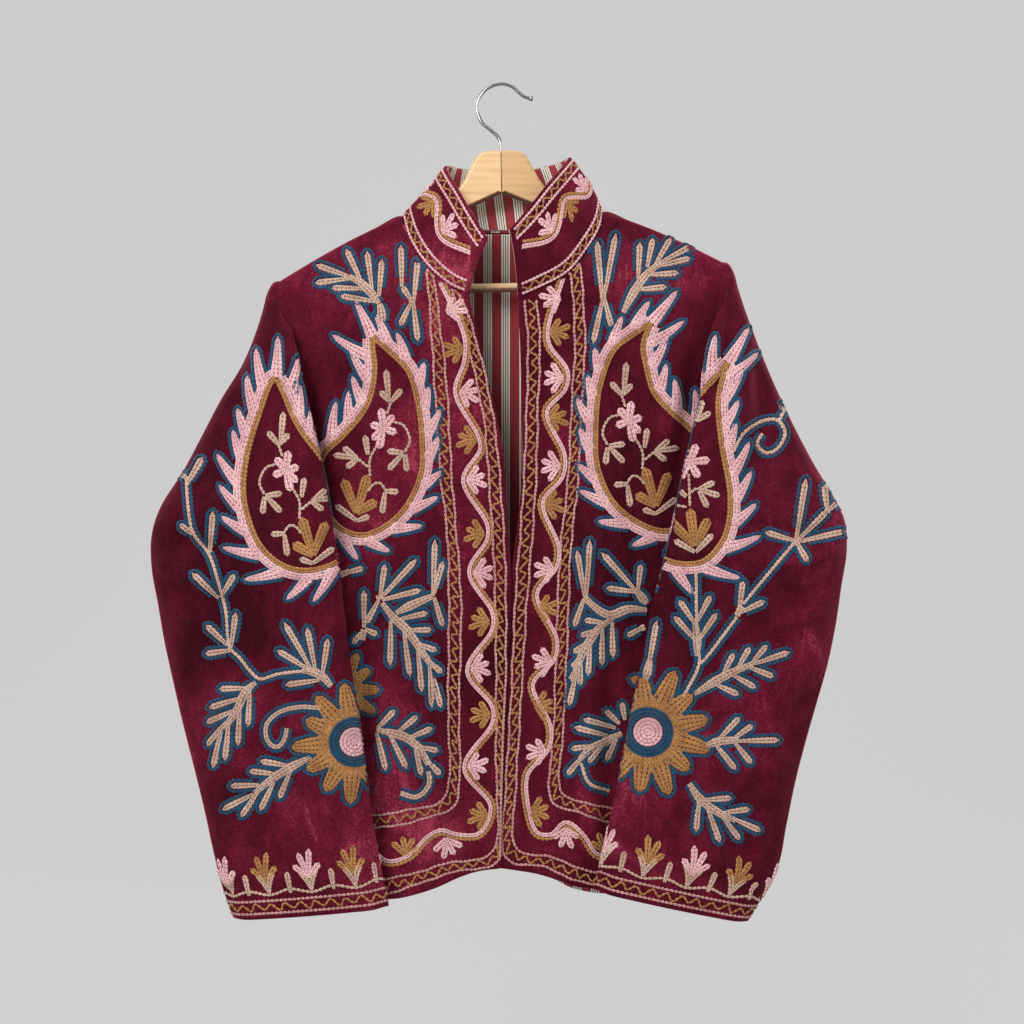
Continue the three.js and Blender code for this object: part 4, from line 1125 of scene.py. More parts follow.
# Petals of a flower: the share of their length where they meet, and the gap between them there
PETAL_WIDEST = 0.62
PETAL_GAP = 3.6

# Round a flower's teal ring: how far petals start and gold rounds lie inside its rim, and reach out
PETAL_FOOT = 3
RING_OVERLAP = 2
GOLD_RING = 8

# Tongues round a paisley: how many, their width, the shares of its line where they start and where
# the two directions part, and the one at its point: its reach, and from which point on the line it
# takes its direction; how far out the pink band lies
FLAMES = 19
FLAME_WIDTH = 13
FLAMES_START = 0.035
FLAMES_PART = 0.62
CROWN_REACH = 42
CROWN = 8
PINK_BAND_OUT = 6.6


class Stitching:
    """Gathers the stitches of one piece and makes its mesh."""

    def __init__(self):
        self.vertices, self.faces, self.uvs, self.marks = [], [], [], []
        self.count = 0

    def add(self, grid, ways, uv, colour):
        """One strip of stitches; ways are the cloth's normals, which its faces follow."""
        height, width = grid.shape[:2]
        facing = np.cross(grid[1:, :-1] - grid[:-1, :-1], grid[:-1, 1:] - grid[:-1, :-1])
        flip = np.sum(facing * ways[:-1, :-1]) < 0
        faces = quads_of(height, width, self.count, False, flip)
        self.vertices.append(grid.reshape(-1, 3))
        self.uvs.append(uv.reshape(-1, 2))
        self.faces.append(faces)
        self.marks.append(np.full(len(faces), THREAD_ORDER.index(colour)))
        self.count += height * width

    def make(self, name):
        piece = mesh_object(name, np.concatenate(self.vertices), np.concatenate(self.faces),
                            [THREADS[key] for key in THREAD_ORDER], np.concatenate(self.marks),
                            np.concatenate(self.uvs))
        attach(piece, "root")


def even_steps(points, step):
    points = np.asarray(points, float)
    lengths = summed(np.linalg.norm(np.diff(points, axis=0), axis=1))
    count = max(int(round(lengths[-1] / step)), 2)
    at = np.linspace(0, lengths[-1], count + 1)
    return np.stack([np.interp(at, lengths, points[:, k]) for k in range(points.shape[1])], axis=-1)


def smooth_line(points, step=2.5):
    return Curve(points).sampled(step)


CHAIN_SHAPE = [(-1, 0), (-0.62, 1), (0, 0.62), (0.62, 1), (1, 0)]
CHAIN_SWELL = [0.66, 1.12, 1.0]


def chain(work, canvas, points, width, height, colour, link=CHAIN_LINK):
    """A line of chain stitch: each link narrows where the next one comes out of it."""
    stations = len(CHAIN_SWELL)
    line = even_steps(points, link / stations)
    places, normals = canvas(line)
    side = unit(np.cross(normals, np.gradient(places, axis=0)))
    swell = np.array([CHAIN_SWELL[i % stations] for i in range(len(line))])
    grid = np.empty((len(line), len(CHAIN_SHAPE), 3))
    uv = np.empty((len(line), len(CHAIN_SHAPE), 2))
    for k, (a, b) in enumerate(CHAIN_SHAPE):
        rise = (b * height * (0.55 + 0.45 * swell) - THREAD_SINK * (b == 0))[:, None]
        grid[:, k] = places + side * (a * width / 2 * swell)[:, None] + normals * rise
        uv[:, k, 0] = np.arange(len(line)) / stations
        uv[:, k, 1] = 0.5 + 0.5 * a
    work.add(grid, np.repeat(normals[:, None], len(CHAIN_SHAPE), axis=1), uv, colour)


BAND_SHAPES = {
    1: [(-1, 0), (-0.55, 0.9), (0, 1), (0.55, 0.9), (1, 0)],
    2: [(-1, 0), (-0.72, 0.95), (-0.3, 0.95), (0, 0.6), (0.3, 0.95), (0.72, 0.95), (1, 0)],
    3: [(-1, 0), (-0.8, 0.85), (-0.33, 0.6), (0, 1), (0.33, 0.6), (0.8, 0.85), (1, 0)],
    4: [(-1, 0), (-0.8, 0.9), (-0.5, 0.65), (-0.25, 1), (0, 0.7), (0.25, 1), (0.5, 0.65), (0.8, 0.9),
        (1, 0)],
}


def band(work, canvas, points, width, colour, rows, height, widths=None, step=3.0):
    """Rows of chain stitch side by side, of one width or of a width for each share of the way."""
    line = even_steps(points, step)
    shares = np.linspace(0, 1, len(line))
    half = np.full(len(line), width / 2) if widths is None else widths(shares) * width / 2
    _, side = line_frame(line)
    shape = BAND_SHAPES[rows]
    flat = np.stack([line + side * (a * half)[:, None] for a, _ in shape], axis=1)
    places, normals = canvas(flat.reshape(-1, 2))
    grid = places.reshape(len(line), len(shape), 3)
    ways = normals.reshape(len(line), len(shape), 3)
    low = np.clip(half / (width / 2) * 1.6, 0.25, 1)
    for k, (_, b) in enumerate(shape):
        grid[:, k] += ways[:, k] * ((b * height * low) - THREAD_SINK * (b == 0))[:, None]
    uv = np.empty(grid.shape[:2] + (2,))
    length = np.linalg.norm(np.diff(line, axis=0), axis=1).sum()
    uv[..., 0] = (shares * length / CHAIN_LINK)[:, None]
    uv[..., 1] = [rows * (0.5 + 0.5 * a) for a, _ in shape]
    work.add(grid, ways, uv, colour)


def line_frame(line):
    """Directions along a flat line and to its side."""
    way = unit(np.gradient(line, axis=0))
    return way, np.stack([-way[:, 1], way[:, 0]], axis=-1)


def by_hand(amount, pace, i):
    """A small change from one piece of hand work to the next."""
    return amount * math.sin(pace * i)


def turn(vector, degrees):
    c, s = math.cos(math.radians(degrees)), math.sin(math.radians(degrees))
    return np.array([vector[0] * c - vector[1] * s, vector[0] * s + vector[1] * c])


def finger_line(base, tip, bend):
    base, tip = np.asarray(base, float), np.asarray(tip, float)
    middle = (base + tip) / 2 + turn(tip - base, 90) * bend
    t = np.linspace(0, 1, 7)[:, None]
    return (1 - t) ** 2 * base + 2 * t * (1 - t) * middle + t * t * tip


def rounded(share, cap):
    """Narrowing at the last part of a leaf, round like a thumb."""
    return np.sqrt(np.clip(1 - (np.clip(share - 1 + cap, 0, None) / cap) ** 2, 0, 1))


def leaf_widths(share):
    return 0.55 + 0.45 * np.sin(np.pi / 2 * np.clip(share / 0.8, 0, 1))


def flame_widths(share):
    return 1.12 - 0.78 * share


def petal_widths(share):
    return 1.2 - 0.68 * share ** 1.4


def stem_widths(share):
    return np.interp(share, (0, 0.35, 0.7, 1), (0.5, 1, 0.85, 0.6))


def finger(work, canvas, base, tip, width, colour, bend=0.0, rows=2, height=1.35, widths=leaf_widths):
    """One leaf, petal or tongue of flame with a round tip."""
    line = finger_line(base, tip, bend)
    length = np.linalg.norm(np.diff(line, axis=0), axis=1).sum()
    cap = min(width * widths(1.0) / 2 / length, 0.4)
    band(work, canvas, line, width, colour, rows, height,
         lambda t: np.maximum(widths(t) * rounded(t, cap), 0.06), step=max(length / 8, 2.6))


def leaf_outline(work, canvas, base, tip, width, bend=0.0, widths=leaf_widths, skip=0.22):
    """A row of teal chain round a leaf, open at its foot."""
    line = even_steps(finger_line(base, tip, bend), 3)
    way, side = line_frame(line)
    half = widths(np.linspace(0, 1, len(line))) * width / 2 + LEAF_OUTLINE_GAP
    half[-1] *= 0.6
    first = max(int(len(line) * skip), 1)
    left, right = line + side * half[:, None], line - side * half[:, None]
    route = np.concatenate([left[first:], [line[-1] + way[-1] * 2.4], right[first:][::-1]])
    chain(work, canvas, route, OUTLINE_WIDTH, OUTLINE_HEIGHT, "teal")


def palmette(work, canvas, base, angle, reach, colour, width=7.2):
    """A fan of fingers from one point; angle in degrees, 0 to the right and 90 downwards."""
    base = np.asarray(base, float)
    for i in range(PALMETTE_FINGERS):
        off = (i - (PALMETTE_FINGERS - 1) / 2) * PALMETTE_SPREAD
        long = reach * (1 - 0.0034 * abs(off)) * (1 + 0.07 * math.sin(2.3 * i + base[1]))
        way = turn((1, 0), angle + off)
        finger(work, canvas, base, base + way * long, width, colour, bend=-0.08 * np.sign(off))


def disc(work, canvas, centre, radius, colour, rings, height, hole=0.0):
    """Rounds of chain stitch from the rim to the middle, or to a hole."""
    centre = np.asarray(centre, float)
    count = max(int(2 * math.pi * radius / 3.2), 12)
    radii = []
    for r in range(rings):
        a, b = lerp(radius, hole, r / rings), lerp(radius, hole, (r + 1) / rings)
        radii.append((a, 0.0 if r == 0 else 0.55, r))
        radii += [(lerp(a, b, share), 1.0, r + share) for share in (0.3, 0.7)]
    radii.append((hole if hole else 0.15, 0.0 if hole else 0.6, rings))
    angles = np.linspace(0, 2 * math.pi, count + 1)
    spokes = np.stack([np.cos(angles), np.sin(angles)], axis=-1)
    flat = np.array([[centre + r * spoke for r, _, _ in radii] for spoke in spokes])
    places, normals = canvas(flat.reshape(-1, 2))
    grid, ways = places.reshape(flat.shape[:2] + (3,)), normals.reshape(flat.shape[:2] + (3,))
    uv = np.empty(flat.shape[:2] + (2,))
    for k, (r, h, row) in enumerate(radii):
        grid[:, k] += ways[:, k] * (h * height - THREAD_SINK * (h == 0))
        uv[:, k, 0] = angles * max(r, radius * 0.3) / CHAIN_LINK
        uv[:, k, 1] = row
    work.add(grid, ways, uv, colour)


def rosette(work, canvas, centre, petals=13, inner=26, outer=58, pink=15, start=0):
    """A round flower: pink middle, teal ring and gold petals edged in teal."""
    centre = np.asarray(centre, float)
    width = 2 * math.pi * lerp(inner, outer, PETAL_WIDEST) / petals - PETAL_GAP
    tips = []
    for i in range(petals):
        way = turn((1, 0), start + 360 * (i + by_hand(0.12, 3.1, i)) / petals)
        long = outer * (1 + by_hand(0.09, 2.4, i))
        tips.append((centre + way * (inner - PETAL_FOOT), centre + way * long))
    for base, tip in tips:
        leaf_outline(work, canvas, base, tip, width, widths=petal_widths)
    for base, tip in tips:
        finger(work, canvas, base, tip, width, "gold", rows=4, height=1.4, widths=petal_widths)
    disc(work, canvas, centre, inner + GOLD_RING, "gold", rings=2, hole=inner - RING_OVERLAP, height=1.3)
    disc(work, canvas, centre, inner, "teal", rings=3, hole=pink, height=1.6)
    disc(work, canvas, centre, pink, "pink", rings=4, height=1.5)


def outlined_band(work, canvas, points, width):
    """A tan stem or curl between two rows of teal."""
    line = even_steps(points, 2.5)
    _, side = line_frame(line)
    for sign in (-1, 1):
        edge = line + side * sign * (width / 2 + STEM_OUTLINE_GAP)
        chain(work, canvas, edge, OUTLINE_WIDTH, OUTLINE_HEIGHT, "teal")
    band(work, canvas, line, width, "tan", 1 if width < 5 else 2, 1.3)


def zigzag(work, canvas, one, other, period=13.0):
    """A gold line to and fro between two others."""
    one, other = even_steps(one, 2), even_steps(other, 2)
    length = np.linalg.norm(np.diff(one, axis=0), axis=1).sum()
    count = max(int(length / (period / 2)), 2)
    points = []
    for i in range(count + 1):
        share = 0.5 + (ZIGZAG_REACH + by_hand(0.07, 1.7, i)) * (1 if i % 2 else -1)
        a, b = (line[int(i / count * (len(line) - 1))] for line in (one, other))
        points.append(lerp(a, b, share))
    chain(work, canvas, smooth_line(points, 2), 2.5, 0.9, "gold", link=4.8)


def trim(work, canvas, one, other):
    """Two chain lines, sewn by hand, with a gold zigzag between them."""
    for phase, points in enumerate((one, other)):
        line = smooth_line(points)
        _, side = line_frame(line)
        steps = np.arange(len(line))
        wave = 0.5 * np.sin(steps * 0.31 + phase) + 0.3 * np.sin(steps * 0.83)
        chain(work, canvas, line + side * wave[:, None], 2.9, 1.0, "rose")
    zigzag(work, canvas, smooth_line(one), smooth_line(other))


def vine(work, canvas, points, flip=1):
    """A pink and a gold line side by side."""
    line = smooth_line(points)
    _, side = line_frame(line)
    band(work, canvas, line + side * 1.9 * flip, 4.6, "pink", 2, 1.3)
    chain(work, canvas, line - side * 2.0 * flip, 3.8, 1.15, "gold")


def paisley(work, canvas, outline, leans=(57, 58), reaches=(33, 31)):
    """A pointed drop: gold edge, pink band and a fringe of pink tongues edged in teal.

    outline runs from the point round the drop and back; before and after the place where they
    part, the tongues lean towards the point by leans, in degrees, and are as long as reaches."""
    line = smooth_line(outline)
    way, side = line_frame(line)
    third = len(side) // 3
    turned = np.dot(side[third], line[third] - line.mean(axis=0)) < 0
    if turned:
        side = -side
    crown = unit(unit(line[0] - line[CROWN]) + unit(line[-1] - line[-CROWN]))
    tongues = [(line[0], line[0] + crown * CROWN_REACH, 0.02)]
    for i in range(FLAMES):
        share = lerp(FLAMES_START, 1 - FLAMES_START, i / (FLAMES - 1))
        index = int(share * (len(line) - 1))
        after = share > FLAMES_PART
        forward = 1 if after else -1
        near_point = 1 - smoothstep(min(share, 1 - share), 0.03, 0.1)
        low = math.sin(math.pi * share) ** 6
        tilt = math.radians(leans[after] + by_hand(5, 2.7, i) - 6 * low)
        direction = unit(side[index] * math.cos(tilt) + way[index] * forward * math.sin(tilt))
        long = reaches[after] * (1 + by_hand(0.14, 1.9, i) + 0.25 * near_point + 0.2 * low)
        base = line[index] + side[index] * 4
        tongues.append((base, base + direction * long, 0.07 * forward * (-1 if turned else 1)))
    for base, tip, bend in tongues:
        leaf_outline(work, canvas, base, tip, FLAME_WIDTH - 1, bend, widths=flame_widths, skip=0.1)
    for base, tip, bend in tongues:
        finger(work, canvas, base, tip, FLAME_WIDTH, "pink", bend, 3, 1.5, flame_widths)
    band(work, canvas, line + side * PINK_BAND_OUT, 8.4, "pink", 3, 1.6)
    band(work, canvas, line, 5.8, "gold", 2, 1.7)


# The jacket's cloth

CLOTH = {}


def ride_as(piece, node):
    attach(piece, "root")
    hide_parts(node)


front_right = front_rows(RIGHT)
front_left = front_rows(LEFT)
back = back_rows()
FRONTWARD, BACKWARD = np.array([0, -1, 0]), np.array([0, 1, 0])
coarse_ways = (normals_of(front_right, False, FRONTWARD), normals_of(back, False, BACKWARD),
               normals_of(front_left, False, FRONTWARD))


def cloth_piece(node, grid, creases, ring=False, outward=BACKWARD, rear=None, along=True):
    """A velvet piece with its creases; its lining's stripes run along it, or else upright."""
    moved, normals = creased(fine(grid, ring), ring, outward, creases, rear)
    CLOTH[node] = (moved, normals, ring)
    uv = lengths_uv(moved) if along else None
    piece = shell(node + "_cloth", moved, normals, ring, VELVET, LINING, VELVET_WALL, uv)
    ride_as(piece, node)


cloth_piece("front_right", front_right, FRONT_RIGHT_CREASES, outward=FRONTWARD, along=False)
cloth_piece("front_left", front_left, FRONT_LEFT_CREASES, outward=FRONTWARD, along=False)
cloth_piece("back", back, BACK_CREASES, along=False)

for name, half, table, panel, folds, rear in (
    ("sleeve_right", RIGHT, SLEEVE_RIGHT, front_right, SLEEVE_RIGHT_FRONT, SLEEVE_RIGHT_REAR),
    ("sleeve_left", LEFT, SLEEVE_LEFT, front_left, SLEEVE_LEFT_FRONT, SLEEVE_LEFT_REAR),
):
    rows = sleeve_rows(half, table, armhole_ring(half, panel, back))
    rows[0] = tucked_under(rows[0], half)
    cloth_piece(name, rows, folds, ring=True, rear=rear)

cloth_piece("collar", collar_rows(neck_seam(front_right, back, front_left, coarse_ways)), [])


def lining_piece(node, grid, drawn_in, ring=False, along=True):
    """A striped lining, drawn in from the grid of the velvet that it lines."""
    normals = normals_of(grid, ring, BACKWARD)
    face = grid - normals * drawn_in
    uv = lengths_uv(face) if along else None
    piece = shell(node + "_cloth", face, normals, ring, LINING, LINING, LINING_WALL, uv)
    ride_as(piece, node)


inset = VELVET_WALL + LINING_GAP
back_short = CLOTH["back"][0].copy()
for edge, beside in ((0, 1), (-1, -2)):
    back_short[:, edge] = lerp(back_short[:, edge], back_short[:, beside], BACK_LINING_STOP)
lining_piece("back_lining", back_short, inset, along=False)
collar_short = CLOTH["collar"][0].copy()
collar_short[-1] = lerp(collar_short[-1], collar_short[-2], COLLAR_LINING_STOP)
lining_piece("collar_lining", collar_short, inset)

for side in ("right", "left"):
    ring = CLOTH["sleeve_" + side][0]
    cuff = (ring - normals_of(ring, True, BACKWARD) * inset)[CUFF_LINING_ROWS]
    lining_piece("cuff_lining_" + side, cuff, 0, ring=True)

# The hanger


def tilted(points):
    c, s = math.cos(HANGER_TILT), math.sin(HANGER_TILT)
    points = np.asarray(points, float)
    out = points.copy()
    out[..., 0] = points[..., 0] * c - points[..., 2] * s
    out[..., 2] = points[..., 0] * s + points[..., 2] * c
    return out


def hanger_arm(sign, wood):
    """Half of the hanger: its outline with rounded edges, made as loops drawn in at both faces."""
    outline = smooth_outline([(max(x, GLUE_LINE / 2), z) for x, z in HANGER_HALF])
    centre = len(outline)
    way = unit(np.roll(outline, -1, axis=0) - np.roll(outline, 1, axis=0))
    inward = np.stack([-way[:, 1], way[:, 0]], axis=-1)
    area = np.sum(outline[:, 0] * np.roll(outline[:, 1], -1) - np.roll(outline[:, 0], -1) * outline[:, 1])
    if area < 0:
        inward = -inward
    flat_joint = outline[:, 0] < JOINT_WIDTH
    loops = []
    for face in (-1, 1):
        for k in range(HANGER_EDGE_STEPS + 1)[::-face]:
            angle = math.pi / 2 * k / HANGER_EDGE_STEPS
            drawn = HANGER_EDGE_ROUND * (1 - math.sin(angle))
            depth = HANGER_THICK / 2 - HANGER_EDGE_ROUND * (1 - math.cos(angle))
            amount = np.where(flat_joint, np.minimum(drawn, JOINT_ROUND), drawn)[:, None]
            loop = outline + inward * amount
            loops.append(np.column_stack([sign * loop[:, 0], np.full(centre, face * depth), loop[:, 1]]))
    vertices = tilted(np.concatenate(loops))
    faces = quads_of(len(loops), centre, 0, True, sign * (1 if area > 0 else -1) < 0)
    mesh = bpy.data.meshes.new("arm")
    total = len(vertices)
    caps = [list(range(centre)), list(range(total - centre, total))]
    if faces[0][1] == faces[0][0] + centre:
        caps[1] = caps[1][::-1]
    else:
        caps[0] = caps[0][::-1]
    mesh.from_pydata([tuple(v * MM) for v in vertices], [], faces.tolist() + caps)
    mesh.materials.append(wood)
    mesh.polygons.foreach_set("use_smooth", [True] * len(faces) + [False, False])
    mesh.update()
    piece = bpy.data.objects.new("hanger_arm_" + ("left" if sign > 0 else "right") + "_wood", mesh)
    bpy.context.scene.collection.objects.link(piece)
    return piece


def smooth_outline(points):
    """The hanger's outline with points between; the joint's straight side stays straight."""
    joint = points[0][0]
    curve = Curve(points).sampled(HANGER_STEP)
    curve[:, 0] = np.maximum(curve[:, 0], joint)
    return curve


def tube(name, route, radius, material, sides=24):
    """A round bar or wire along a smooth route."""
    line = Curve(route).sampled(TUBE_STEP)
    way = unit(np.gradient(line, axis=0))
    side = np.tile(np.array([0.0, 1, 0]), (len(line), 1))
    other = np.cross(way, side)
    angles = np.linspace(0, 2 * math.pi, sides, endpoint=False)
    grid = np.array([[p + radius * (math.cos(t) * s + math.sin(t) * o) for t in angles]
                     for p, s, o in zip(line, side, other)])
    first, last = grid[0].mean(axis=0), grid[-1].mean(axis=0)
    rows = [lerp(first, grid[0], k) for k in (0.02, 0.85)] + list(grid)
    rows += [lerp(last, grid[-1], k) for k in (0.85, 0.02)]
    grid = tilted(np.array(rows))
    return mesh_object(name, grid.reshape(-1, 3), quads_of(len(grid), sides, 0, True, False), [material])


ride_as(hanger_arm(-1, PALE_WOOD), "hanger_arm_right")
ride_as(hanger_arm(1, SHADED_WOOD), "hanger_arm_left")
bar_line = [(x, 0, BAR_Z) for x in (-BAR_HALF, 0, BAR_HALF)]
ride_as(tube("hanger_bar_wood", bar_line, BAR_RADIUS, BAR_WOOD, 32), "hanger_bar")
hook_line = [(x, 0, z - WIRE_RADIUS) for x, z in HOOK_ROUTE]
ride_as(tube("hanger_hook_wire", hook_line, WIRE_RADIUS, CHROME), "hanger_hook")
bpy.ops.mesh.primitive_uv_sphere_add(segments=24, ring_count=16, radius=HOOK_BALL * MM,
                                     location=tilted(np.array(hook_line[-1])) * MM)
ball = bpy.context.object
ball.name = "hanger_hook_ball"
ball.data.transform(ball.matrix_world)
ball.matrix_world.identity()
ball.data.materials.append(CHROME)
ball.data.polygons.foreach_set("use_smooth", [True] * len(ball.data.polygons))
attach(ball, "root")

# The embroidery

# Places are in picture coordinates, x to the right and y down, and about a millimetre each.
# A fan is a tan body and its fingers: (body line, [(foot x, foot y, tip x, tip y)...]).
FRONT_RIGHT_FANS = [
    ([(379, 304), (371, 293), (361, 283), (350, 277)],
     [(352, 278, 316, 265), (350, 279, 315, 283), (364, 289, 331, 288), (376, 302, 340, 296),
      (362, 283, 346, 249), (372, 289, 367, 251), (379, 297, 382, 259)]),
    ([(383, 322), (380, 304)], []),
    ([(412, 304), (412, 298)],
     [(411, 300, 402, 286), (402, 287, 401, 245), (414, 300, 418, 258), (413, 301, 418, 342),
      (411, 303, 400, 326)]),
    ([(382, 603), (393, 617), (406, 629), (419, 647), (433, 668)],
     [(400, 619, 428, 613), (409, 630, 432, 630), (419, 644, 437, 651), (428, 660, 442, 673),
      (391, 620, 390, 666), (404, 631, 410, 677), (418, 648, 422, 692), (430, 666, 432, 708),
      (434, 678, 441, 708)]),
    ([(381, 600), (378, 595)],
     [(380, 598, 385, 564), (381, 598, 417, 559), (382, 600, 422, 590), (379, 600, 366, 624)]),
    ([(396, 613), (412, 605), (433, 596)],
     [(433, 596, 435, 539), (434, 594, 443, 561), (434, 597, 443, 627)]),
    ([(377, 730), (392, 733), (407, 738), (420, 749), (429, 765)],
     [(378, 728, 395, 710), (398, 732, 418, 716), (409, 738, 433, 728), (421, 747, 439, 751),
      (429, 762, 441, 775), (377, 733, 386, 771), (390, 735, 407, 769), (415, 745, 422, 776)]),
    ([(364, 629), (362, 640)], [(364, 628, 364, 590), (365, 629, 378, 635), (362, 632, 352, 644)]),
    ([(340, 575), (350, 571)], [(346, 573, 364, 568)]),
]
FRONT_LEFT_FANS = [
    ([(623, 313), (634, 292), (648, 273), (661, 263)],
     [(638, 280, 640, 242), (647, 268, 653, 238), (655, 265, 671, 238), (660, 263, 692, 246),
      (660, 266, 691, 258), (650, 275, 679, 273), (637, 290, 667, 287)]),
    ([(603, 299), (603, 292)],
     [(602, 297, 597, 240), (604, 297, 616, 233), (603, 298, 593, 344), (604, 298, 612, 328)]),
    ([(647, 610), (629, 609), (609, 615), (590, 603), (585, 597)],
     [(585, 598, 577, 550), (586, 598, 590, 539), (584, 599, 574, 627)]),
    ([(647, 604), (637, 591)], [(637, 592, 601, 552), (638, 590, 641, 564), (636, 592, 606, 588)]),
    ([(645, 627), (640, 629)], [(642, 628, 627, 636)]),
    ([(613, 618), (598, 629), (586, 647), (578, 664), (573, 682)],
     [(605, 623, 584, 620), (597, 630, 580, 636), (588, 642, 573, 653), (581, 658, 571, 668),
      (577, 668, 570, 681), (612, 622, 613, 658), (602, 629, 602, 666), (590, 643, 588, 676),
      (581, 660, 580, 686), (576, 674, 569, 706)]),
    ([(622, 733), (603, 743), (590, 749), (580, 759)],
     [(616, 728, 583, 719), (608, 736, 574, 727), (591, 746, 571, 749), (582, 757, 567, 775),
      (603, 744, 588, 763), (617, 738, 606, 761), (620, 724, 605, 710), (625, 720, 622, 702)]),
]
SLEEVE_RIGHT_FANS = [
    ([(302, 671), (310, 671), (322, 676), (331, 686)],
     [(313, 672, 284, 622), (316, 672, 307, 627), (322, 678, 328, 638), (310, 670, 277, 650),
      (320, 680, 285, 685)]),
    ([(256, 682), (246, 691), (237, 710), (224, 729)],
     [(247, 688, 219, 689), (241, 698, 209, 708), (235, 710, 206, 723), (226, 722, 207, 746),
      (222, 730, 213, 768), (229, 722, 225, 761), (240, 704, 238, 746), (250, 690, 248, 727)]),
    ([(312, 757), (293, 766), (272, 779), (255, 793)],
     [(290, 766, 260, 761), (276, 774, 249, 771), (260, 785, 230, 786), (254, 794, 222, 810),
      (258, 792, 241, 817), (274, 782, 260, 811), (291, 770, 279, 799)]),
]
SLEEVE_RIGHT_LEAVES = [
    (187, 485, 203, 457), (189, 480, 176, 470), (193, 534, 180, 524), (210, 553, 213, 511),
    (219, 598, 192, 573), (221, 597, 235, 574), (228, 645, 206, 625), (232, 650, 205, 654),
    (231, 648, 236, 612),
]
SLEEVE_RIGHT_STEMS = [
    [(187, 478), (187, 492), (193, 532), (209, 554), (218, 581), (226, 612), (230, 648),
     (239, 657), (252, 673), (260, 679), (278, 674), (303, 671)],
]
SLEEVE_LEFT_FANS = [
    ([(697, 656), (697, 640), (695, 622)],
     [(697, 642, 674, 616), (698, 641, 717, 613), (695, 624, 679, 600), (696, 623, 711, 595)]),
    ([(737, 616), (741, 606)], [(739, 612, 743, 580), (739, 613, 765, 601)]),
    ([(795, 543), (797, 538)],
     [(796, 540, 806, 478), (797, 541, 828, 510), (798, 542, 846, 531), (796, 542, 808, 562),
      (794, 541, 765, 532)]),
    ([(826, 512), (829, 508)], [(827, 511, 824, 484), (829, 510, 837, 502)]),
    ([(694, 694), (721, 678), (737, 670), (753, 664)],
     [(722, 676, 734, 653), (737, 669, 750, 647), (751, 664, 767, 645), (753, 664, 790, 652),
      (749, 667, 774, 677), (733, 675, 756, 688), (715, 684, 739, 695)]),
    ([(704, 746), (721, 741), (739, 740)],
     [(718, 740, 740, 717), (734, 738, 753, 725), (738, 741, 780, 740), (735, 743, 752, 764),
      (716, 745, 736, 770)]),
    ([(689, 783), (700, 799), (721, 814), (735, 820)],
     [(703, 800, 732, 798), (722, 813, 750, 809), (734, 819, 761, 831), (722, 816, 740, 840),
      (707, 806, 720, 843), (699, 800, 696, 832)]),
    ([(646, 680), (650, 660)], [(648, 672, 657, 620)]),
]
SLEEVE_LEFT_STEMS = [
    [(683, 697), (699, 664), (697, 640), (696, 574)],
    [(699, 664), (704, 660), (737, 617)],
    [(743, 604), (768, 574), (795, 542)],
]

# Curls beside the flowers
FRONT_RIGHT_CURL = [(429, 771), (429, 785), (417, 797), (400, 793)]
FRONT_LEFT_CURL = [(581, 763), (589, 783), (609, 791)]
SLEEVE_RIGHT_CURL = [(321, 708), (300, 707), (278, 713), (266, 726), (269, 743), (278, 747),
                     (285, 738), (287, 728)]
SLEEVE_LEFT_CURLS = [
    [(733, 452), (743, 434), (760, 422), (777, 420), (785, 433), (777, 449), (766, 453), (757, 444),
     (762, 434)],
    [(779, 421), (784, 409), (786, 398)],
]

BACK_MIDDLE = 503
BACK_FANS = [
    ([(503, 560), (503, 520), (503, 470)],
     [(503, 540, 478, 512), (503, 520, 480, 488), (503, 500, 483, 464), (503, 480, 490, 446)]),
    ([(470, 705), (455, 722), (448, 745)],
     [(468, 707, 440, 704), (458, 718, 428, 722), (452, 730, 428, 746), (466, 712, 466, 748),
      (455, 726, 456, 764)]),
]
BACK_TOP_FAN = [([(503, 470), (503, 450)], [(503, 462, 503, 420)])]

# Sprigs inside a drop: chain stems, then tan leaves by foot and tip; about the drop's own flower
DROP_FLOWER = (383.5, 428.5)
DROP_STEMS = [
    [(391, 402), (389, 408), (387, 414)],
    [(394, 422), (403, 425), (410, 440), (405, 452)],
    [(378, 444), (370, 459), (370, 476)],
    [(368, 467), (362, 462), (357, 458)],
    [(368, 491), (374, 484), (380, 483), (386, 491)],
]
DROP_LEAVES = [
    (389, 401, 386, 369), (390, 402, 380, 391), (391, 402, 402, 389), (404, 453, 387, 451),
    (403, 454, 388, 470), (405, 454, 407, 472), (368, 455, 365, 435), (358, 458, 333, 455),
    (357, 458, 343, 447), (358, 459, 346, 468), (385, 491, 399, 492), (385, 492, 382, 514),
    (357, 521, 335, 505), (357, 521, 370, 516),
]
DROP_TULIP = (356.5, 513)
DROP_TULIP_TIPS = [(343, 479), (368, 474), (377, 501)]
DROP_PETALS = [(381, 408), (394, 415), (397, 433), (379, 449), (372, 440), (370, 424)]

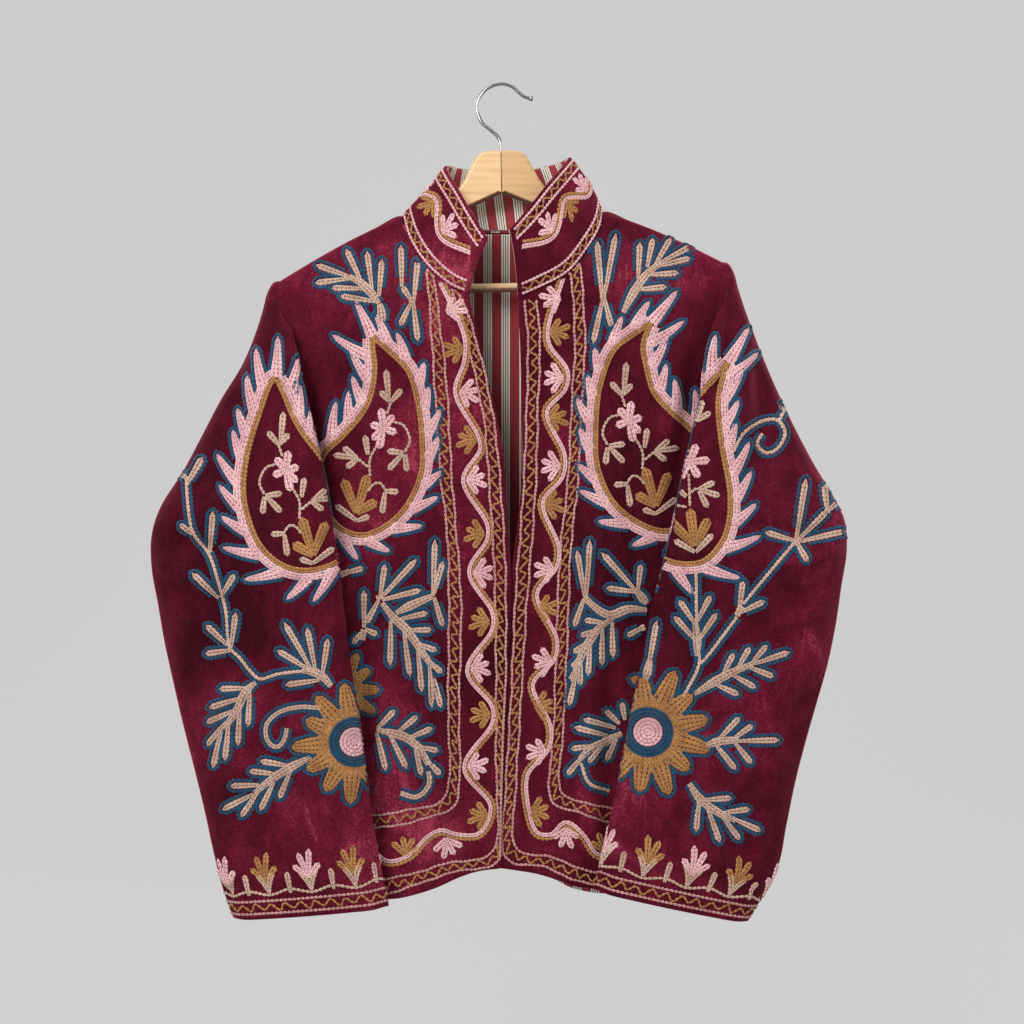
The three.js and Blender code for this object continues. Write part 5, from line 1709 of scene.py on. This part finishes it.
BORDER_LEANS, BORDER_REACHES = (63, 46), (26, 34)
FRONT_RIGHT_DROP = [
    (373, 337), (390, 352), (408, 371), (418, 404), (422, 441), (421, 473), (405, 508), (384, 527),
    (362, 535), (342, 529), (326, 510), (318, 480), (324, 455), (341, 438), (362, 414), (371, 395),
    (375, 366), (373, 350), (373, 339),
]
FRONT_LEFT_DROP = [
    (651, 323), (630, 337), (614, 350), (600, 387), (596, 428), (598, 468), (614, 503), (641, 524),
    (665, 531), (687, 524), (701, 504), (706, 470), (702, 444), (689, 428), (673, 414), (654, 393),
    (646, 366), (643, 345), (650, 325),
]
SLEEVE_RIGHT_DROP = [
    (276, 378), (271, 383), (258, 418), (247, 457), (244, 497), (260, 545), (287, 567), (318, 569),
    (344, 556), (352, 530), (346, 500), (332, 474), (317, 452), (303, 434), (292, 414), (283, 392),
    (277, 380),
]
SLEEVE_LEFT_DROP = [
    (728, 363), (722, 380), (718, 401), (721, 441), (730, 495), (728, 525), (721, 543), (705, 560),
    (684, 564), (660, 556), (645, 530), (645, 490), (660, 450), (684, 415), (706, 388), (720, 372),
    (727, 364),
]
SLEEVE_LEFT_INNER_STEMS = [
    [(689, 452), (687, 438), (696, 424)], [(689, 474), (690, 506)], [(691, 493), (695, 489), (699, 489)],
    [(673, 505), (687, 507)],
]
SLEEVE_LEFT_INNER_LEAVES = [
    (697, 421, 711, 412), (696, 422, 703, 400), (694, 423, 682, 414), (687, 497, 676, 488),
    (699, 489, 715, 482), (700, 490, 720, 496), (699, 491, 708, 508), (695, 552, 674, 540),
    (696, 552, 713, 534),
]
SLEEVE_LEFT_PETALS = [(697, 444), (710, 460), (699, 478), (679, 480), (670, 464), (678, 447)]
SLEEVE_LEFT_TULIP_TIPS = [(690, 508), (668, 519), (709, 518)]

# Borders of the fronts: the outer and inner pairs of lines run down and turn along the hem
RIGHT_OUTER = [
    [(427, 268), (430, 310), (435, 390), (441, 480), (447, 530), (449, 600), (448, 700), (447, 792),
     (438, 803), (410, 810), (384, 814), (330, 818), (280, 822)],
    [(434, 275), (438, 310), (446, 378), (452, 480), (456, 530), (461, 600), (459, 700), (457, 800),
     (450, 809), (420, 820), (384, 827), (330, 832), (280, 836)],
]
RIGHT_INNER = [
    [(452, 288), (460, 315), (474, 370), (484, 420), (489, 480), (494, 560), (496, 640), (496, 760),
     (496, 845), (488, 856), (449, 863), (418, 872), (388, 879), (330, 884), (280, 890)],
    [(460, 294), (469, 318), (484, 370), (495, 430), (500, 480), (505, 560), (506, 640), (504, 760),
     (503, 852), (494, 864), (449, 873), (418, 884), (389, 893), (330, 899), (280, 904)],
]
RIGHT_VINE = [
    (442, 282), (466, 336), (466, 362), (457, 392), (480, 436), (482, 450), (465, 480), (489, 524),
    (489, 540), (471, 572), (494, 612), (494, 630), (469, 671), (494, 706), (494, 724), (466, 768),
    (492, 804), (489, 824), (478, 836), (455, 836), (441, 832), (428, 839), (410, 857), (387, 863),
    (366, 848), (340, 846), (318, 862), (292, 868),
]
LEFT_OUTER = [
    [(571, 268), (575, 340), (572, 400), (568, 480), (561, 545), (557, 620), (554, 720), (550, 795),
     (556, 806), (580, 812), (606, 822), (660, 828), (720, 832)],
    [(580, 258), (585, 340), (582, 400), (578, 480), (571, 545), (568, 620), (564, 720), (560, 790),
     (566, 797), (584, 802), (607, 808), (660, 814), (720, 818)],
]
LEFT_INNER = [
    [(525, 300), (528, 345), (527, 400), (524, 480), (520, 540), (516, 590), (511, 700), (505, 800),
     (503, 852), (512, 862), (545, 867), (575, 880), (600, 886), (660, 896), (720, 904)],
    [(537, 300), (540, 350), (538, 400), (536, 480), (532, 540), (527, 600), (521, 700), (515, 800),
     (513, 842), (522, 852), (550, 857), (580, 868), (600, 874), (660, 884), (720, 892)],
]
LEFT_VINE = [
    (562, 276), (546, 330), (548, 346), (566, 372), (564, 388), (545, 412), (563, 456), (561, 476),
    (541, 502), (557, 548), (555, 566), (535, 594), (555, 640), (553, 658), (531, 684), (549, 728),
    (547, 748), (526, 774), (526, 804), (536, 834), (552, 836), (566, 824), (582, 836), (597, 856),
    (624, 852), (648, 838), (676, 846), (704, 864),
]


def fan(work, canvas, body, fingers):
    """A tan body and its fingers, edged in teal."""
    body = even_steps(smooth_line(body), 2.5)
    long = len(body) > 5
    for a, b, c, d in fingers:
        leaf_outline(work, canvas, (a, b), (c, d), FAN_LEAF)
    stout = FAN_LEAF + FAN_BODY_EXTRA if long else FAN_LEAF
    if long:
        _, side = line_frame(body)
        half = stem_widths(np.linspace(0, 1, len(body)))[:, None] * stout / 2 + STEM_OUTLINE_GAP
        for sign in (-1, 1):
            chain(work, canvas, body + side * sign * half, OUTLINE_WIDTH, 1.0, "teal")
    for a, b, c, d in fingers:
        finger(work, canvas, (a, b), (c, d), FAN_LEAF, "tan")
    band(work, canvas, body, stout, "tan", 3 if long else 2, 1.5, widths=stem_widths if long else None)


def shifted(dx, dy, mirror=False):
    """A function that turns a place left to right, if asked to, and moves it."""
    if mirror:
        return lambda x, y: (dx - x, y + dy)
    return lambda x, y: (x + dx, y + dy)


def placed(points, place):
    return [place(x, y) for x, y in points]


def placed_leaves(leaves, place):
    return [place(a, b) + place(c, d) for a, b, c, d in leaves]


def fans(work, canvas, table, place=shifted(0, 0)):
    for body, fingers in table:
        fan(work, canvas, placed(body, place), placed_leaves(fingers, place))


def leafy_stems(work, canvas, stems, leaves):
    for stem in stems:
        outlined_band(work, canvas, smooth_line(stem), STEM_WIDTH)
    for a, b, c, d in leaves:
        leaf_outline(work, canvas, (a, b), (c, d), STEM_LEAF)
        finger(work, canvas, (a, b), (c, d), STEM_LEAF, "tan")


def sprigs(work, canvas, stems, leaves):
    """Tan stems and leaves without an outline."""
    for stem in stems:
        chain(work, canvas, smooth_line(stem), 3.2, 1.1, "tan")
    for a, b, c, d in leaves:
        finger(work, canvas, (a, b), (c, d), SPRIG_LEAF, "tan")


def drop_inside(work, canvas, place):
    """Flower, sprigs and tulip inside a drop."""
    stems = [placed(stem, place) for stem in DROP_STEMS]
    sprigs(work, canvas, stems, placed_leaves(DROP_LEAVES, place))
    blossom(work, canvas, place(*DROP_FLOWER), placed(DROP_PETALS, place))
    tulip(work, canvas, place(*DROP_TULIP), placed(DROP_TULIP_TIPS, place))


def blossom(work, canvas, centre, tips):
    for tip in tips:
        finger(work, canvas, centre, tip, 9.4, "pink", height=1.5)
    disc(work, canvas, centre, 4.6, "pink", rings=2, height=1.9)


def tulip(work, canvas, foot, tips):
    for tip in tips:
        finger(work, canvas, foot, tip, 11.0, "gold", rows=3, height=1.5)


def border(work, canvas, outer, inner, line, palmettes, flip):
    for pair in (outer, inner):
        trim(work, canvas, *pair)
    vine(work, canvas, line, flip=flip)
    for x, y, angle, colour in palmettes:
        palmette(work, canvas, (x, y), angle, 22, colour)


# Trims by lengths: the points on a line; round a cuff the depths of its lines, its repeat and its
# wave, the tips of a blossom's leaves sideways and up, its foot, its petals by angle and length, and
# the bud between blossoms; the waves of the vines along the hem and the collar
CUFF_POINTS = 160
CUFF_LINES = (5.0, 17.5)
CUFF_REPEAT = 44
CUFF_WAVE = 25.5
CUFF_WAVE_RISE = 2.2
CUFF_LEAVES = ((-8.5, 45), (8.5, 46))
CUFF_BLOSSOM_FOOT = 37
CUFF_BLOSSOM = ((48, 19), (80, 29), (104, 26), (134, 19))
CUFF_BUD = (24, 45)
CUFF_BUD_LEAN = 0.8
HEM_POINTS = 120
HEM_WAVE = 88
COLLAR_POINTS = 160
COLLAR_HALF_WAVES = 12
COLLAR_MIDDLE = 30
WAVE_RISE = 8


def level_trim(work, canvas, along, depths, width=3.0, colour="rose", period=13.0):
    """Two chain lines at even depths from an edge, with a gold zigzag between them."""
    pair = [np.stack([along, np.full(len(along), depth)], axis=-1) for depth in depths]
    for line in pair:
        chain(work, canvas, line, width, 1.0, colour)
    zigzag(work, canvas, *pair, period)


def cuff_trim(work, canvas, first, colours):
    """Rows of stitches round a cuff: two lines of chain, a wavy line, blossoms and buds."""
    length = canvas.length
    around = np.linspace(0, length, CUFF_POINTS)
    level_trim(work, canvas, around, CUFF_LINES, period=15.0)
    count = int(round(length / CUFF_REPEAT))
    step = length / count
    phase = 2 * math.pi * (around - first) / step
    wave = np.stack([around, CUFF_WAVE - CUFF_WAVE_RISE * np.cos(phase)], axis=-1)
    chain(work, canvas, wave, 3.2, 1.05, "tan")
    for i in range(count):
        middle = first + i * step
        for across, high in CUFF_LEAVES:
            finger(work, canvas, (middle, 25), (middle + across, high), 6.4, "tan",
                   bend=0.12 * np.sign(across))
        foot = (middle, CUFF_BLOSSOM_FOOT)
        for angle, long in CUFF_BLOSSOM:
            finger(work, canvas, foot, turn((long, 0), angle) + foot, 6.8, colours[i % 2])
        bud = middle + step / 2
        finger(work, canvas, (bud, CUFF_BUD[0]), (bud + CUFF_BUD_LEAN, CUFF_BUD[1]), 6.4, "tan")


def hem_trim(work, canvas, rows, start):
    """Two bands with zigzags along a hem, and the vine between them, by lengths from the hem."""
    end = canvas.length - start
    along = np.linspace(start, end, HEM_POINTS)
    for depths in rows:
        level_trim(work, canvas, along, depths)
    middle = (rows[0][1] + rows[1][0]) / 2
    wave = np.stack([along, middle + WAVE_RISE * np.sin(2 * math.pi * along / HEM_WAVE)], axis=-1)
    vine(work, canvas, wave[::6])
    places = np.arange(start + HEM_WAVE / 4, end - 10, HEM_WAVE / 2)
    for k, s in enumerate(places):
        height = math.sin(2 * math.pi * s / HEM_WAVE)
        palmette(work, canvas, (s, middle + WAVE_RISE * height), -90 if height > 0 else 90, 16,
                 "gold" if k % 2 else "pink")


# Palmettes beside the vines: foot x, y, direction and colour
RIGHT_PALMETTES = [
    (463, 350, 180, "gold"), (447, 312, -20, "pink"), (476, 440, 180, "gold"), (460, 392, 10, "pink"),
    (484, 534, 180, "gold"), (467, 480, 0, "pink"), (489, 622, 180, "gold"), (474, 573, 0, "pink"),
    (490, 715, 180, "gold"), (471, 668, 0, "pink"), (488, 816, 180, "gold"), (468, 766, 0, "pink"),
    (405, 856, -80, "gold"), (446, 838, 80, "pink"), (352, 850, 80, "pink"), (310, 862, -90, "gold"),
]
LEFT_PALMETTES = [
    (560, 298, 170, "pink"), (550, 332, 0, "gold"), (563, 378, 180, "pink"), (548, 418, 0, "gold"),
    (560, 466, 180, "pink"), (545, 505, 0, "gold"), (554, 570, 180, "pink"), (539, 608, 0, "gold"),
    (552, 662, 180, "pink"), (535, 706, 0, "gold"), (546, 752, 180, "pink"), (530, 812, 0, "gold"),
    (566, 828, 90, "pink"), (604, 852, -90, "gold"), (650, 842, 90, "pink"), (690, 856, -90, "gold"),
]


RIGHT_DROP_PLACE = shifted(0, 0)
LEFT_DROP_PLACE = shifted(1012.5, -7, True)
SLEEVE_DROP_PLACE = shifted(669.5, 42.5, True)


def embroider_front(node, lines, table, curl, curl_width, flower, drop, place):
    """A front: its border, given by lines, its fans, curl and flower, and its paisley."""
    work, view = Stitching(), View(*CLOTH[node])
    border(work, view, *lines)
    fans(work, view, table)
    outlined_band(work, view, smooth_line(curl), curl_width)
    rosette(work, view, flower, petals=11, inner=14, outer=40, pink=8)
    paisley(work, view, drop, BORDER_LEANS, BORDER_REACHES)
    drop_inside(work, view, place)
    work.make(node + "_embroidery")


def embroider_sleeve_right():
    work = Stitching()
    for behind in (False, True):
        view = View(*CLOTH["sleeve_right"], behind=behind)
        leafy_stems(work, view, SLEEVE_RIGHT_STEMS, SLEEVE_RIGHT_LEAVES)
        fans(work, view, SLEEVE_RIGHT_FANS)
        outlined_band(work, view, smooth_line(SLEEVE_RIGHT_CURL), 5.2)
        rosette(work, view, (330 if behind else 354, 742), start=10)
        paisley(work, view, SLEEVE_RIGHT_DROP)
        drop_inside(work, view, SLEEVE_DROP_PLACE)
    cuff_trim(work, Wrap(*CLOTH["sleeve_right"], True), -30, ("gold", "pink"))
    work.make("sleeve_right_embroidery")


def embroider_sleeve_left():
    work = Stitching()
    for behind in (False, True):
        view = View(*CLOTH["sleeve_left"], behind=behind)
        leafy_stems(work, view, SLEEVE_LEFT_STEMS, [])
        fans(work, view, SLEEVE_LEFT_FANS)
        for curl in SLEEVE_LEFT_CURLS:
            outlined_band(work, view, smooth_line(curl), 4.6)
        rosette(work, view, (668 if behind else 648, 732), outer=62, start=-12)
        paisley(work, view, SLEEVE_LEFT_DROP)
        sprigs(work, view, SLEEVE_LEFT_INNER_STEMS, SLEEVE_LEFT_INNER_LEAVES)
        blossom(work, view, (690, 462), SLEEVE_LEFT_PETALS)
        tulip(work, view, (695, 546), SLEEVE_LEFT_TULIP_TIPS)
    cuff_trim(work, Wrap(*CLOTH["sleeve_left"], True), -2, ("pink", "gold"))
    work.make("sleeve_left_embroidery")


def embroider_back():
    work, view = Stitching(), View(*CLOTH["back"], behind=True)
    for drop, place in ((FRONT_RIGHT_DROP, RIGHT_DROP_PLACE), (FRONT_LEFT_DROP, LEFT_DROP_PLACE)):
        paisley(work, view, drop, BORDER_LEANS, BORDER_REACHES)
        drop_inside(work, view, place)
    for table in (FRONT_RIGHT_FANS, FRONT_LEFT_FANS):
        fans(work, view, table)
    rosette(work, view, (503, 640), petals=14, outer=66)
    for place in (shifted(2 * BACK_MIDDLE, 0, True), shifted(0, 0)):
        fans(work, view, BACK_FANS, place)
    fans(work, view, BACK_TOP_FAN)
    hem_trim(work, Wrap(*CLOTH["back"], True), ((8, 20), (62, 74)), 6)
    work.make("back_embroidery")


def embroider_collar():
    work = Stitching()
    top, foot = Wrap(*CLOTH["collar"], False), Wrap(*CLOTH["collar"], True)
    for canvas in (top, foot):
        around = np.linspace(4, canvas.length - 4, COLLAR_POINTS)
        level_trim(work, canvas, around, (3.6, 13.0), 2.9, "pink")
    points = [(lerp(8, top.length - 8, i / COLLAR_HALF_WAVES), COLLAR_MIDDLE - WAVE_RISE * (-1) ** i)
              for i in range(COLLAR_HALF_WAVES + 1)]
    vine(work, top, points)
    for i, (along, across) in list(enumerate(points))[1:-1]:
        low = i % 2
        palmette(work, top, (along, across + (-3 if low else 3)), -90 if low else 90, 21,
                 "pink" if low else "gold", width=6.6)
    work.make("collar_embroidery")


embroider_front("front_right", (RIGHT_OUTER, RIGHT_INNER, RIGHT_VINE, RIGHT_PALMETTES, 1),
                FRONT_RIGHT_FANS, FRONT_RIGHT_CURL, 5.6, (340, 690), FRONT_RIGHT_DROP, RIGHT_DROP_PLACE)
embroider_front("front_left", (LEFT_OUTER, LEFT_INNER, LEFT_VINE, LEFT_PALMETTES, -1),
                FRONT_LEFT_FANS, FRONT_LEFT_CURL, 4.6, (672, 690), FRONT_LEFT_DROP, LEFT_DROP_PLACE)
embroider_sleeve_right()
embroider_sleeve_left()
embroider_back()
embroider_collar()

# Sheets, stage and camera

# The backdrop, in millimetres: its floor, its wall and the round sweep between them
FLOOR_Z = -1250
FLOOR_FRONT = -4200
WALL_Y = 3200
WALL_TOP = 3600
SWEEP = 900
SWEEP_STEPS = 12
BACKDROP_HALF = 6000
BACKDROP_COLUMNS = 9
BACKDROP_GLOW = 0.558
WORLD_STRENGTH = 0.42


def backdrop():
    """A plain pale floor that runs up into a plain wall."""
    g = Graph("backdrop", Base_Color=grey(0.06), Roughness=0.9, Specular_IOR_Level=0.0,
              Emission_Color=grey(1), Emission_Strength=BACKDROP_GLOW)
    profile = [(y, FLOOR_Z) for y in (FLOOR_FRONT, -2000, 0, WALL_Y - SWEEP)]
    for k in range(1, SWEEP_STEPS + 1):
        t = math.pi / 2 * k / SWEEP_STEPS
        profile.append((WALL_Y - SWEEP + SWEEP * math.sin(t), FLOOR_Z + SWEEP * (1 - math.cos(t))))
    profile.append((WALL_Y, WALL_TOP))
    columns = np.linspace(-BACKDROP_HALF, BACKDROP_HALF, BACKDROP_COLUMNS)
    vertices = [(x, y, z) for y, z in profile for x in columns]
    faces = quads_of(len(profile), BACKDROP_COLUMNS, 0, False, True)
    mesh_object("backdrop", vertices, faces, [g.material])


backdrop()

world = bpy.data.worlds.new("studio")
world.use_nodes = True
sky = world.node_tree.nodes["Background"]
sky.inputs["Color"].default_value = grey(1)
sky.inputs["Strength"].default_value = WORLD_STRENGTH
bpy.context.scene.world = world


def area_light(name, place, target, size, power, colour=(1, 1, 1)):
    light = bpy.data.lights.new(name, "AREA")
    light.shape = "RECTANGLE"
    light.size, light.size_y = size
    light.energy = power
    light.color = colour
    lamp = bpy.data.objects.new(name, light)
    lamp.location = place
    lamp.rotation_euler = (Vector(target) - Vector(place)).to_track_quat("-Z", "Y").to_euler()
    bpy.context.scene.collection.objects.link(lamp)


MIDDLE = (0.0, 0.0, -0.45)
area_light("key", (-1.0, -2.3, 0.7), MIDDLE, (1.3, 1.3), 66, (1.0, 0.985, 0.96))
area_light("fill", (1.9, -1.7, 0.1), MIDDLE, (1.6, 2.0), 20)
area_light("top", (0.0, -0.2, 1.7), MIDDLE, (2.4, 1.6), 22)
area_light("back_left", (-1.9, 1.9, 0.6), MIDDLE, (1.6, 1.6), 26)
area_light("back_right", (1.9, 1.6, 0.4), MIDDLE, (1.6, 1.6), 22)

camera_data = bpy.data.cameras.new("camera")
camera_data.sensor_width = SENSOR
camera_data.lens = FOCAL / PICTURE * SENSOR
camera = bpy.data.objects.new("camera", camera_data)
camera.location = EYE * MM
camera.rotation_euler = (math.pi / 2, 0, 0)
bpy.context.scene.collection.objects.link(camera)
bpy.context.scene.camera = camera
bpy.context.scene.view_settings.view_transform = "Standard"
